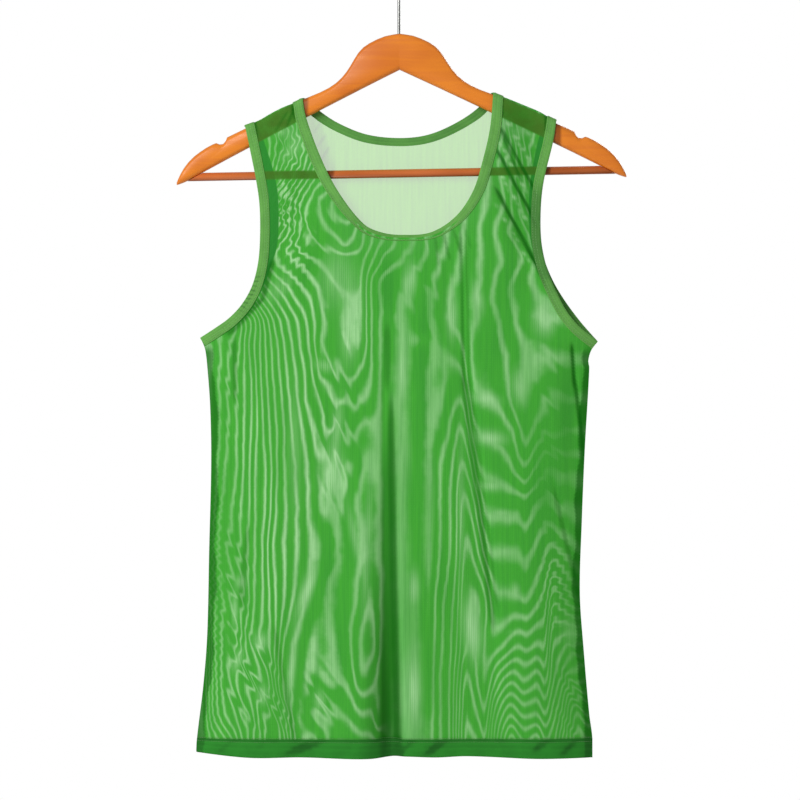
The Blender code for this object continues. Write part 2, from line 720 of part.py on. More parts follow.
def main():
    for thing in list(bpy.data.objects):
        bpy.data.objects.remove(thing)
    bore = add_bore()
    add_arm(LEFT, "hanger_arm_left", bore)
    add_arm(RIGHT, "hanger_arm_right", bore)
    add_bar()
    add_hook()
    add_panel(FRONT, "front_panel")
    add_panel(BACK, "back_panel")
    add_neck_binding()
    add_armhole_binding(LEFT, "armhole_binding_left")
    add_armhole_binding(RIGHT, "armhole_binding_right")
    add_hem(FRONT, "hem_front")
    add_hem(BACK, "hem_back")


main()
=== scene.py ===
"""Looks of a mesh tank top on a wooden hanger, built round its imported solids.

The garment is a front and a back sheet of sheer knit mesh, bound at the neck and armholes and hemmed
below. It hangs on two varnished arms with a round bar and a wire hook. Tables and the functions that
read them are in millimetres on the flat cut: x to the right as seen from the front and z up, both
from where the rail touches the hook. Meshes, properties and shaders are in metres.
"""
import math
from collections import namedtuple
from functools import partial

import bpy
import bmesh
import numpy as np
from bpy.props import FloatProperty, FloatVectorProperty, IntProperty, PointerProperty
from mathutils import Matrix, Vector
from mathutils.geometry import delaunay_2d_cdt


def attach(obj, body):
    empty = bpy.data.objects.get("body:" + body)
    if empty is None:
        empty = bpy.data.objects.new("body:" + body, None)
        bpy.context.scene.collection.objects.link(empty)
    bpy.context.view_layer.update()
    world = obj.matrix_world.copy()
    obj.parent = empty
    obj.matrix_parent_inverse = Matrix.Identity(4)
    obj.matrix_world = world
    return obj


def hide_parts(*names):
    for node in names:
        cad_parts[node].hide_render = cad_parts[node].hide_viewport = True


bl_info = {
    "name": "Mesh Tank Top",
    "version": (1, 0, 0),
    "blender": (4, 5, 0),
    "location": "3D View > Sidebar > Tank Top",
    "description": "A sheer mesh tank top on a wooden hanger, with a plain studio stage",
    "category": "Add Mesh",
}

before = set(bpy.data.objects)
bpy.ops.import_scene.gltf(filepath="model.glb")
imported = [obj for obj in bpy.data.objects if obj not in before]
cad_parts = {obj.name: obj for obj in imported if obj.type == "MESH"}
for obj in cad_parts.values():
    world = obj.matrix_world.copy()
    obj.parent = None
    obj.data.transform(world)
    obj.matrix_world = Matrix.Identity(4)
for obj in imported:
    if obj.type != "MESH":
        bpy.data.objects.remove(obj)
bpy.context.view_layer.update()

MM = 0.001
FRONT, BACK = -1, 1
LEFT, RIGHT = -1, 1
HANDS = {LEFT: "left", RIGHT: "right"}

# Hanger, as its solids are made
YOKE_TOP = -85.0
HANGER_ROLL = math.radians(1.0)
BAR_RADIUS = 4.15
BAR_DROP = 140.0
# Distance out from the middle and drops of the arm's edges below the yoke's top, where cloth lies on it
ARM_TOP = [(80.0, 57.4), (95.0, 63.3), (125.0, 77.7), (155.0, 92.1), (174.0, 100.9)]
ARM_UNDER = [(80.0, 75.2), (174.0, 122.7)]

# Cloth over the arms
CREST_FLAT = 1.0
CREST_BEND = 6.15
CREST_RISE = 1.15
SHOULDER_DEPTH = CREST_FLAT + CREST_BEND
SIDE_DEPTH = 0.6
SIDE_EASE = 20.0
STRAP_SETTLE = 80.0
HEM_TOP = -790.5
CREST_HELD = 10.5
CREST_TURN = 34.0
ARMPIT = {LEFT: (-199.0, -389.5), RIGHT: (199.0, -393.0)}

# Height and x of the garment's side edges, from the hem to the armpit
SIDE_EDGE = {
    LEFT: [
        (-806.0, -203.0), (-789.0, -202.0), (-739.0, -196.0), (-688.0, -192.0), (-602.0, -190.0),
        (-515.0, -188.0), (-458.0, -189.0), (-417.0, -192.0), (-404.0, -193.5), (-398.0, -195.0),
        (-389.5, -199.0),
    ],
    RIGHT: [
        (-811.0, 192.0), (-791.0, 193.5), (-767.0, 190.5), (-704.0, 185.0), (-645.0, 181.0),
        (-573.0, 183.0), (-501.0, 186.0), (-420.0, 190.5), (-412.5, 189.5), (-402.0, 192.5),
        (-393.0, 199.0),
    ],
}
# X and height of the hem's lower edge
HEM_EDGE = [
    (-203.0, -804.5), (-149.0, -809.0), (-98.0, -808.5), (-30.0, -810.0), (1.0, -807.5),
    (38.0, -808.5), (68.0, -807.5), (135.0, -810.0), (193.0, -810.0),
]
# Free edge of the neck band between its ends on the hanger's crest
NECK_CREST = {LEFT: -97.0, RIGHT: 94.5}
NECK_EDGE = {
    FRONT: [
        (-93.0, -169.0), (-76.0, -214.5), (-58.5, -247.0), (-35.0, -276.0), (-18.0, -284.0),
        (2.0, -286.6), (32.0, -284.0), (57.0, -268.0), (74.0, -243.0), (83.0, -215.0),
        (91.0, -180.0),
    ],
    BACK: [(-78.0, -163.0), (-59.0, -175.0), (-32.0, -185.5), (0.0, -189.0), (28.0, -186.0),
           (55.0, -175.0), (79.0, -159.0)],
}
# Free edge of the armhole bands from the hanger's crest down to the armpit
ARMHOLE_CREST = {LEFT: -155.0, RIGHT: 158.0}
ARMHOLE_EDGE = {
    (LEFT, FRONT): [
        (-151.5, -190.0), (-143.0, -232.0), (-139.5, -257.5), (-139.0, -289.0), (-141.0, -315.0),
        (-147.0, -338.0), (-157.0, -356.0), (-170.0, -370.0), (-184.0, -380.0),
    ],
    (LEFT, BACK): [
        (-146.5, -190.0), (-133.5, -232.0), (-130.5, -251.0), (-131.0, -293.0), (-137.0, -314.0),
        (-145.5, -337.0), (-158.0, -359.0), (-173.0, -373.0),
    ],
    (RIGHT, FRONT): [
        (154.5, -192.0), (145.0, -232.0), (142.0, -257.5), (142.0, -289.0), (145.5, -311.0),
        (152.0, -331.5), (161.0, -351.0), (169.0, -365.0), (181.0, -379.0),
    ],
    (RIGHT, BACK): [
        (149.5, -192.0), (141.5, -232.0), (139.5, -257.0), (141.0, -289.0), (146.0, -311.0),
        (154.0, -331.0), (165.0, -350.0), (181.0, -372.0),
    ],
}
# Share of the way along a band and its width there
NECK_WIDTH = {
    FRONT: [(0.0, 10.6), (0.25, 10.4), (0.42, 7.2), (0.5, 6.0), (0.58, 7.0), (0.75, 10.4), (1.0, 10.8)],
    BACK: [(0.0, 10.6), (0.2, 8.6), (0.8, 8.6), (1.0, 10.8)],
}
ARMHOLE_WIDTH = [(0.0, 10.0), (0.5, 9.6), (1.0, 9.6)]
NECK_LEAN = [(0.3, 0.0), (0.5, 6.0), (0.7, 0.0)]

# How far each sheet hangs out from the hanger's plane, by height
SHEET_DEPTH = {
    FRONT: [(-810.0, 16.0), (-600.0, 13.0), (-450.0, 11.0), (-300.0, 8.6), (-150.0, 7.0)],
    BACK: [(-810.0, 13.5), (-600.0, 11.5), (-450.0, 9.5), (-300.0, 7.8), (-150.0, 7.0)],
}
# X along the hanger's crest and how far the cloth's soft waves stand above their lowest place
CREST_WAVE = [
    (-155.0, 1.6), (-145.0, 0.5), (-137.0, 0.4), (-129.0, 1.2), (-116.0, 1.3), (-106.0, 0.2),
    (-92.0, 0.0), (90.0, 0.0), (106.0, 1.2), (120.0, 2.0), (141.0, 2.8), (149.0, 1.8), (158.0, 1.6),
]

# Seam allowances as they show through the sheets, and how dark they are there: seen through, and
# painted as shade where they keep the light from coming through
SEAM_SHOWS = 7.5
SEAM_SHADE = {LEFT: 0.7, RIGHT: 0.75}

# A fold runs straight from its top to its bottom. A positive height stands out from the sheet, and
# the shades are how far painted shade darkens its line there
Fold = namedtuple(
    "Fold", "name top_x top_z bottom_x bottom_z top_height bottom_height reach_left reach_right fade "
    "top_shade bottom_shade")
FOLDS = {
    FRONT: [
        Fold("middle ridge", -22, -440, -46, -812, 0, 7.5, 40, 26, 60, 0, 0),
        Fold("middle crease", -14, -440, -8, -812, 0, -9, 13, 8, 60, 0, 0),
        Fold("crease's right lip", -2, -440, 9, -812, 0, 6, 9, 40, 60, 0, 0),
        Fold("chest crease", 52, -300, 94, -680, -2.5, -2, 14, 8, 70, 0, 0),
        Fold("chest ridge", 66, -300, 112, -760, 2.6, 3.2, 12, 46, 80, 0, 0),
        Fold("right strap fold", 90, -200, 138, -345, -2.6, -2.2, 10, 9, 30, 0, 0),
        Fold("left strap fold", -84, -215, -128, -330, -1.8, -1.4, 12, 12, 40, 0, 0),
        Fold("right side crease", 174, -408, 188, -720, -4, -1, 12, 7, 50, 0, 0),
        Fold("left swell", -112, -430, -136, -812, 2, 4.5, 34, 40, 90, 0, 0),
        Fold("right swell", 128, -480, 138, -812, 1, 4, 26, 30, 90, 0, 0),
        Fold("middle crease line", -8, -450, -2, -812, 0, -1.6, 4, 3, 60, 0.6, 0.7),
        Fold("middle shadow", -12, -500, -13, -830, 0, 0, 7, 8, 130, 0.35, 0.95),
        Fold("middle shadow's right", -8, -470, 0, -830, 0, 0, 6, 4.5, 110, 0.3, 0.72),
        Fold("middle flank", -24, -520, -22, -830, 0, 0, 14, 14, 110, 0, 0.3),
        Fold("upper middle dark", -12, -378, -12, -440, 0, 0, 4, 4, 30, 0.45, 0.35),
        Fold("middle crease's second line", -17, -430, -16, -600, -0.5, -0.3, 2.5, 3, 60, 0.2, 0.2),
        Fold("chest line", 62, -285, 65, -440, -0.9, -0.8, 2.2, 1.8, 30, 0.55, 0.55),
        Fold("chest second line", 67, -290, 70, -440, -0.5, -0.6, 1.4, 1.4, 30, 0.35, 0.35),
        Fold("chest line below", 65, -430, 94, -680, -0.8, -0.6, 3.5, 3.5, 30, 0.45, 0.45),
        Fold("chest second line below", 70, -430, 90, -640, -0.6, -0.4, 2, 2, 30, 0.35, 0.35),
        Fold("chest third line below", 74, -450, 98, -660, -0.6, -0.4, 1.8, 1.8, 30, 0.3, 0.3),
        Fold("right strap line", 97, -200, 141, -282, -1, -1, 2.4, 2.2, 16, 0.9, 0.95),
        Fold("right strap second line", 97, -240, 148, -336, -1, -1.2, 2.6, 2.2, 16, 0.9, 0.98),
        Fold("right strap third line", 101, -178, 138, -246, -0.8, -0.9, 2.2, 2, 14, 0.85, 0.85),
        Fold("right armhole line", 130, -300, 160, -362, -0.8, -0.5, 3, 2, 18, 0.8, 0.6),
        Fold("right strap upper line", 100, -178, 122, -232, -0.6, -0.6, 1.8, 1.6, 14, 0.6, 0.7),
        Fold("right strap shade", 116, -160, 130, -300, 0, 0, 20, 18, 24, 0.3, 0.25),
        Fold("left strap gather", -104, -158, -112, -178, -0.5, -0.3, 1.6, 1.6, 8, 0.7, 0.4),
        Fold("left strap gather two", -112, -164, -124, -184, -0.4, -0.3, 1.8, 1.8, 8, 0.5, 0.3),
        Fold("left strap tuck", -145, -170, -142, -190, 0, 0, 1.8, 1.8, 8, 0.8, 0.6),
        Fold("left strap second tuck", -107, -156, -104, -172, 0, 0, 1.8, 1.8, 8, 0.8, 0.6),
        Fold("right strap tuck", 102, -144, 103.5, -168, 0, 0, 1.6, 1.6, 8, 0.8, 0.7),
        Fold("right strap second tuck", 147, -164, 147, -184, 0, 0, 1.8, 1.8, 8, 0.8, 0.6),
        Fold("right side line", 173, -396, 176, -440, -1, -1.2, 2.6, 1.8, 16, 0.9, 0.95),
        Fold("right side line below", 176, -430, 187, -520, -1.2, -0.9, 2.8, 2, 30, 0.9, 0.7),
        Fold("right side low line", 155, -540, 184, -664, -0.5, -0.4, 3, 2.2, 40, 0.4, 0.5),
        Fold("left side line", -164, -392, -164, -452, -0.8, -0.8, 3, 2.6, 26, 0.4, 0.4),
        Fold("left strap line", -104, -158, -120, -200, -0.5, -0.4, 2.4, 2.4, 18, 0.12, 0.12),
        Fold("left low line", -151, -580, -158, -660, -0.5, -0.4, 3.5, 3.5, 30, 0.3, 0.3),
        Fold("left low second line", -124, -680, -104, -790, -0.4, -0.5, 3, 3, 30, 0.3, 0.3),
        Fold("neck gather one", 45, -286, 51, -312, -0.8, -0.4, 1.8, 1.8, 10, 0.4, 0.4),
        Fold("neck gather two", 37, -290, 40, -318, -0.6, -0.3, 1.6, 1.6, 10, 0.3, 0.3),
        Fold("neck gather three", 55, -282, 62, -306, -0.6, -0.5, 1.8, 1.8, 10, 0.4, 0.4),
        Fold("neck gather four", 64, -274, 72, -300, -0.4, -0.3, 2, 2, 10, 0.2, 0.2),
        Fold("hem pool", -2, -786, 1, -806, 0, 0, 8, 5, 12, 0.5, 0.95),
        Fold("left armhole shade", -126, -312, -136, -350, 0, 0, 4, 3, 14, 0.7, 0.7),
        Fold("left armhole lower shade", -136, -350, -170, -387, 0, 0, 7, 4, 10, 0.7, 0.6),
    ],
    BACK: [
        Fold("back middle ridge", 20, -420, 44, -812, 0, 6.5, 44, 30, 60, 0, 0),
        Fold("back middle crease", 2, -420, 8, -812, 0, -6, 16, 12, 60, 0, 0),
        Fold("back left swell", -96, -330, -118, -812, 2, 5, 40, 34, 90, 0, 0),
        Fold("back right swell", 112, -360, 128, -812, 1.5, 4, 32, 40, 90, 0, 0),
        Fold("back strap fold", -92, -230, -40, -420, -2, -1.6, 16, 12, 60, 0, 0),
        Fold("back neck upper crease", -79, -174, -86, -184, -0.4, -0.4, 1.8, 1.8, 8, 0.4, 0.4),
        Fold("back neck second crease", -74, -186, -82, -198, -0.4, -0.4, 1.8, 1.8, 8, 0.5, 0.5),
        Fold("back neck crease", -70, -198, -80, -214, -0.5, -0.5, 1.8, 1.8, 8, 0.55, 0.55),
        Fold("back neck fold", -84, -166, -64, -240, -1, -0.8, 7, 5, 24, 0.25, 0.25),
        Fold("back neck second fold", -70, -176, -50, -250, 0.8, 0.5, 6, 6, 24, 0, 0),
        Fold("back chest line", -62, -300, -66, -470, -0.9, -0.8, 2.4, 2.4, 30, 0.45, 0.45),
        Fold("back middle line", 4, -480, 7, -800, -0.2, -1.6, 4, 4, 60, 0.7, 0.7),
        Fold("back right line", 84, -420, 104, -690, -0.8, -0.6, 3, 2.6, 40, 0.4, 0.4),
        Fold("back left line", -120, -520, -108, -760, -0.6, -0.7, 3, 3, 40, 0.35, 0.35),
        Fold("back right strap line", 98, -190, 132, -300, -0.8, -0.7, 2.4, 2.2, 24, 0.4, 0.4),
        Fold("back left strap line", -100, -196, -126, -300, -0.8, -0.7, 2.4, 2.2, 24, 0.4, 0.4),
        Fold("back side line", -170, -400, -176, -520, -1, -0.8, 2.8, 2.4, 30, 0.5, 0.5),
    ],
}

# How many knit ribs the front sheet has slipped along the back one, as (x, ribs) at some heights.
# A pale streak of painted light, where light comes through the gaps of both layers, shows wherever
# the count is whole. It is blurred a little sideways
SlipRow = namedtuple("SlipRow", "z places")
SLIP_BLUR = 2.0
SLIP = [
    SlipRow(-160, (
        (-155, 1), (-129, 3), (-114, 5), (-99, 8), (95, 6), (111, 3), (131, 1), (149, -1),
    )),
    SlipRow(-212, (
        (-136, 1), (-124, 3), (-114, 5), (-103, 7), (-92, 9), (-81, 11), (86, 5.4), (97, 4.4), (109, 3),
        (123, 1), (138, -1),
    )),
    SlipRow(-252, (
        (-132, 6), (-120, 8), (-108, 10), (-97, 12), (-92, 12.7), (-87, 13.3), (-81, 13.9), (-74, 14.4),
        (-66, 15), (-50, 15.6), (74, 5.6), (96, 4.6), (106, 4), (120, 2), (134, 0),
    )),
    SlipRow(-282, (
        (-133, 7), (-121, 8), (-109, 10), (-98, 12), (-93.5, 12.8), (-87, 13.4), (-75, 14), (-62, 14.5),
        (-50, 14.7), (-30, 12.6), (0, 10), (40, 7.5), (64, 6), (81, 5), (97, 4), (111, 3), (126, 2),
        (136, 1),
    )),
    SlipRow(-297, (
        (-133, 8), (-121, 9.8), (-114, 10.6), (-107, 11.4), (-101, 12), (-96, 12.6), (-79, 13), (-66, 13.4),
        (-55, 14), (-40, 13.4), (-20, 11), (0, 9.6), (31, 7.8), (60, 6.2), (81, 5), (95, 4.2), (111, 3.3),
        (124, 2.6), (137, 1.6),
    )),
    SlipRow(-312, (
        (-141, 8), (-123, 10), (-105, 11), (-84, 12), (-69, 12.5), (-39, 12.5), (-26, 11), (-14, 9.6),
        (3, 9), (31, 7.5), (61, 6), (81, 5), (93, 4.4), (111, 3.6), (122, 3), (136, 2), (150, 1),
    )),
    SlipRow(-332, (
        (-143, 6.5), (-130, 8), (-118, 9), (-103, 10), (-86.5, 11), (-67, 12), (-54, 12.4), (-40, 12.4),
        (-32, 11), (-28, 10), (-19, 9), (11, 8), (34, 7), (56, 6), (81, 5), (93, 4.2), (113, 3), (133, 2),
        (150, 1),
    )),
    SlipRow(-352, (
        (-145, 3.6), (-139, 5), (-131.5, 6), (-123, 7), (-113, 8), (-104, 9), (-88.5, 10), (-79, 11),
        (-62, 11.6), (-52, 12), (-37, 12), (-28, 10), (-19, 9), (-10, 8.6), (3, 8), (13, 7.9), (24, 7.4),
        (34, 7), (51, 6), (65, 5.4), (79, 5), (93, 4), (113, 3), (134, 2.2), (151, 1.9), (176, 1),
    )),
    SlipRow(-372, (
        (-165, -3), (-149, 0), (-144, 1), (-136, 3), (-126, 5), (-119.5, 6), (-112, 7), (-102.5, 8),
        (-92.5, 9), (-84.4, 10), (-76, 11), (-54, 11.9), (-37, 12), (-28, 10), (-19, 9), (-12, 8.5), (3, 8),
        (25, 7.4), (34, 7), (51, 6), (65, 5.4), (79, 4.9), (88, 4.6), (98.5, 4), (116, 3), (131, 2.3),
        (146, 2), (161, 2.1), (176, 2),
    )),
    SlipRow(-397, (
        (-189, -5), (-159, -2), (-150, 0), (-139, 2), (-128, 4), (-115, 6), (-99, 8), (-90, 9), (-84, 10),
        (-79, 11), (-64, 11.5), (-49, 11.9), (-39, 11.9), (-32, 11), (-28, 10), (-19, 9), (-12, 8.5),
        (3, 8), (26, 7.4), (35, 7), (50, 6.7), (59, 6.4), (65, 5.8), (76, 4.6), (91, 4.5), (104.5, 4),
        (124, 3), (134, 2.8), (161, 2.7), (176, 2.6),
    )),
    SlipRow(-427, (
        (-189, -5), (-162, -2), (-148, 0), (-138.4, 2), (-126, 4), (-112, 6), (-94, 8), (-79, 10),
        (-72, 10.5), (-64, 10.9), (-54, 11), (-47, 11.2), (-41, 11), (-36, 10.6), (-28, 10), (-19, 9),
        (-12, 8.4), (1, 8), (32, 7), (42, 6.8), (50, 7.3), (60, 7.3), (64, 7), (69, 5.6), (76, 4.8),
        (91, 4.7), (101, 4.4), (109, 4), (116, 3.3), (123, 3), (136, 3.1), (149, 3.3), (180, 3.4),
    )),
    SlipRow(-452, (
        (-189, -5), (-162, -2), (-147, 0), (-137, 2), (-124, 4), (-109.7, 6), (-93, 8), (-80.5, 9),
        (-70, 9.9), (-62, 9.8), (-54, 10), (-46, 10.3), (-41, 10.1), (-28, 9.6), (-19, 9), (-12, 8.4),
        (1, 8), (32, 7), (42, 7), (50, 7.5), (59, 8), (64, 8), (69, 6.6), (74, 5.3), (81, 5.1), (91, 5),
        (101, 4.8), (111.5, 4), (117, 3.4), (123, 3.1), (131, 3.3), (146, 4), (180, 4),
    )),
    SlipRow(-482, (
        (-189, -5), (-162, -2), (-148, 0), (-136, 2), (-122, 4), (-107.5, 6), (-86, 8), (-77, 8.6),
        (-69, 9.1), (-62, 8.9), (-54, 9.1), (-47, 9.3), (-42, 9), (-36, 8.8), (-19, 9), (-12, 8.4), (1, 8),
        (32, 7), (41, 7.3), (50, 8), (58, 9), (62, 9.2), (68, 8.4), (73, 6.6), (79, 5.9), (91, 5.7),
        (101, 5.5), (113, 5), (118, 4.4), (121, 4), (127, 3.5), (134, 4), (146, 4.9), (180, 5),
    )),
    SlipRow(-517, (
        (-189, -5), (-174, -3), (-162, -2), (-149, 0), (-144, 1), (-133, 2), (-122, 4), (-115, 5),
        (-104, 6), (-92, 7), (-82, 7.8), (-74, 8), (-54, 8), (-39, 8.6), (-35, 9), (-19, 9), (-11, 8.4),
        (1, 8), (31, 7), (41, 8), (50, 8.6), (57, 9.4), (62, 10.1), (68, 9.8), (74, 8.4), (79, 6.9),
        (86, 6.7), (101, 6.5), (111, 6.1), (121, 5.2), (125, 4.9), (129, 5.1), (135, 5.8), (146, 6.6),
        (180, 6.5),
    )),
    SlipRow(-552, (
        (-195, -6), (-178, -3), (-166, -2), (-149, 0), (-144, 1), (-133, 2), (-123, 4), (-113, 5),
        (-102.5, 6), (-91, 7), (-83, 7.6), (-77, 8), (-59, 8.1), (-49, 8.5), (-41, 9), (-34, 9.3),
        (-27, 9.3), (-19, 9), (-9, 8.3), (3, 8), (31, 7), (41, 8), (51, 9), (58, 10), (63, 11.2), (69, 11),
        (75, 10), (81, 8.6), (85, 7.7), (91, 7.6), (119, 7.4), (126, 7.1), (133, 7.6), (146, 8.2), (154, 8),
        (159, 7.6), (166, 7.8), (180, 7.6),
    )),
    SlipRow(-602, (
        (-195, -6), (-182, -3), (-171, -2), (-159, -1), (-144, 1), (-136, 2), (-126, 4), (-115, 5),
        (-101.5, 6), (-88, 7), (-81, 7.1), (-61, 8), (-37, 9), (-27, 9.2), (-19, 9), (-9, 8.3), (3, 8),
        (31, 7), (41, 8), (51, 9), (58, 10), (64, 12), (71, 12.2), (79, 11), (87, 9.4), (91, 8.9),
        (119, 8.95), (126, 8.6), (134, 9), (146, 9.8), (154, 10.4), (163, 9.8), (171, 9.4), (180, 9),
    )),
    SlipRow(-652, (
        (-195, -6), (-184, -4), (-177, -3), (-167, -2), (-159, -1.4), (-153, -0.6), (-145, 1), (-135.5, 2),
        (-123, 4), (-106.5, 6), (-94, 7), (-72, 8), (-60, 8.3), (-50, 8.6), (-44, 9), (-37, 9.5),
        (-30.5, 10), (-25, 9.8), (-21, 9.3), (-17, 9), (-9, 8.3), (5, 8), (15, 7.9), (31, 7.2), (41, 8.6),
        (51, 9.6), (58, 10.6), (64, 12.6), (71, 13), (78, 13), (83, 12.6), (88, 11.8), (93, 10.6),
        (98, 10.2), (119, 10.2), (126, 10), (132, 10.3), (138, 10.7), (146, 11.4), (154, 14), (163, 13.2),
        (171, 12.5), (180, 12),
    )),
    SlipRow(-697, (
        (-195, -8), (-185, -4), (-177, -3), (-172, -2.2), (-166, -2.6), (-162, -2), (-157, -0.6),
        (-149.5, 1), (-139, 2), (-128, 3), (-119, 5), (-116, 6), (-106.5, 7), (-86, 8), (-76, 7.7),
        (-66, 8), (-55, 8.4), (-48, 9), (-39, 10), (-32, 10.4), (-24, 10), (-21, 9.3), (-15, 8.6), (5, 8),
        (16, 7.9), (31, 7.4), (41, 8.8), (51, 9.8), (58, 11), (63, 12.6), (69, 13.1), (76, 13), (81, 12.6),
        (88, 11.6), (93, 11.4), (103, 11.9), (116, 12.9), (122, 12.9), (126, 12.6), (131, 12.8),
        (138, 13.2), (146, 12.8), (153, 16), (161, 16.4), (167, 17), (181, 17),
    )),
    SlipRow(-732, (
        (-196, -8), (-187, -5), (-178, -3), (-172, -2.2), (-157, -1), (-151, -0.4), (-143, 1), (-136, 1.7),
        (-131, 2), (-123, 4), (-116.5, 6), (-112, 6.6), (-108, 7), (-92, 8), (-82, 7.6), (-66, 7.9),
        (-56, 8), (-48, 8.4), (-44, 9), (-39, 9.6), (-35, 9.65), (-30, 9.5), (-23, 9), (-19, 8.6), (5, 8),
        (16, 7.9), (31, 7.5), (41, 9), (51, 10), (57, 11.6), (66, 14.3), (71, 14), (85, 12), (89, 12.4),
        (96, 14), (104, 15.2), (112, 15.9), (118, 15.6), (123, 15), (129, 15.2), (138, 15.8), (146, 14.6),
        (154, 17), (161, 18), (171, 20), (183, 20),
    )),
    SlipRow(-767, (
        (-196, -8), (-186, -5), (-174, -3), (-164, -2), (-156, -0.9), (-150, -1), (-144, 0), (-137, 1.6),
        (-131, 2), (-127, 2.6), (-122, 3), (-114, 5), (-107, 7), (-100, 8), (-93, 7.6), (-81, 7),
        (-60, 6.9), (-50, 7.2), (-44, 7.6), (-37, 7.95), (-30, 7.8), (-25, 8), (-22, 9), (-18, 8.6),
        (-7, 8.2), (5, 8), (16, 8), (31, 7.6), (41, 9), (51, 10), (56, 11.6), (66, 15), (79, 14), (85, 13),
        (88, 13.6), (94, 16), (101, 17.6), (108, 18.8), (112, 19.1), (118, 18.4), (124, 17.8), (138, 18.2),
        (146, 17), (154, 18.6), (161, 20), (171, 23), (178, 24), (187, 23),
    )),
    SlipRow(-797, (
        (-196, -8), (-178, -6), (-165, -4), (-156, -2), (-146, 0), (-138, 1), (-130, 3), (-124, 2),
        (-117, 3), (-110, 5), (-104, 7), (-96, 8), (-85, 8.4), (-75, 7.4), (-60, 6), (-37, 6.5), (-30, 6.6),
        (-17, 7.2), (-7, 8.2), (16, 8), (31, 7.8), (41, 9), (51, 10), (57, 12), (62, 14), (68, 15.6),
        (80, 15), (86, 14), (94, 17), (104, 20), (112, 22), (120, 20.6), (126, 20), (138, 21), (146, 19),
        (156, 20), (166, 23), (178, 26), (188, 25),
    )),
]

# Small ripples that bend the streaks: how far they reach, and the distance from one to the next both
# ways. They wander by so many radians, over these distances down and across
Ripple = namedtuple("Ripple", "x z reach_x reach_z wave_x wave_z ribs")
RIPPLE_WANDER, RIPPLE_WANDER_DOWN, RIPPLE_WANDER_ACROSS = 1.3, 7.0, 5.0
RIPPLES = [
    Ripple(-112, -200, 24, 26, 31, 27, 0.4), Ripple(-104, -190, 20, 22, -13, 23, 0.3),
    Ripple(-115, -262, 13, 42, 16, 13, 0.22), Ripple(-104, -300, 14, 30, -11, 13, 0.2),
    Ripple(118, -190, 18, 60, 15, 34, 0.35), Ripple(126, -270, 14, 40, 17, 27, 0.2),
    Ripple(-118, -252, 16, 30, 6.5, -8.5, 0.33), Ripple(-186, -640, 10, 110, 60, 9, 0.25),
    Ripple(-170, -440, 12, 60, 14, 21, 0.15), Ripple(-166, -640, 14, 60, 16, 23, 0.35),
    Ripple(-148, -730, 22, 34, 19, 31, 0.7), Ripple(-120, -760, 16, 22, 11, 17, 0.35),
    Ripple(-78, -750, 14, 26, 15, 19, 0.3), Ripple(-62, -470, 20, 90, 15.5, 120, 0.28),
    Ripple(-88, -283, 26, 30, 21, 40, 0.25), Ripple(152, -500, 13, 90, 23, 29, 0.2),
    Ripple(162, -640, 16, 40, -22, 9, 0.2), Ripple(176, -745, 14, 50, 17, 26, 0.35),
    Ripple(24, -330, 26, 60, 33, 70, 0.18),
]

# How much more or less than usual the painted streaks show round some places, and how far apart they
# have to lie to show in full
STREAK_USUAL = 0.7
STREAK_SPACING = 4.5
Fade = namedtuple("Fade", "x z reach_x reach_z streak")
FADES = {
    FRONT: [
        Fade(-112, -420, 48, 130, 0.45), Fade(-110, -600, 40, 130, 0.35), Fade(-62, -440, 16, 60, 0.45),
        Fade(-112, -235, 26, 60, 0.3), Fade(10, -420, 28, 150, -0.25), Fade(10, -680, 24, 150, -0.35),
        Fade(118, -250, 22, 80, -0.1), Fade(92, -520, 30, 90, -0.05), Fade(152, -510, 26, 100, -0.42),
        Fade(130, -740, 50, 90, -0.25), Fade(176, -640, 12, 160, -0.3), Fade(-184, -620, 12, 180, -0.3),
    ],
    BACK: [
        Fade(60, -420, 40, 130, 0.3), Fade(-90, -520, 50, 160, 0.2),
    ],
}
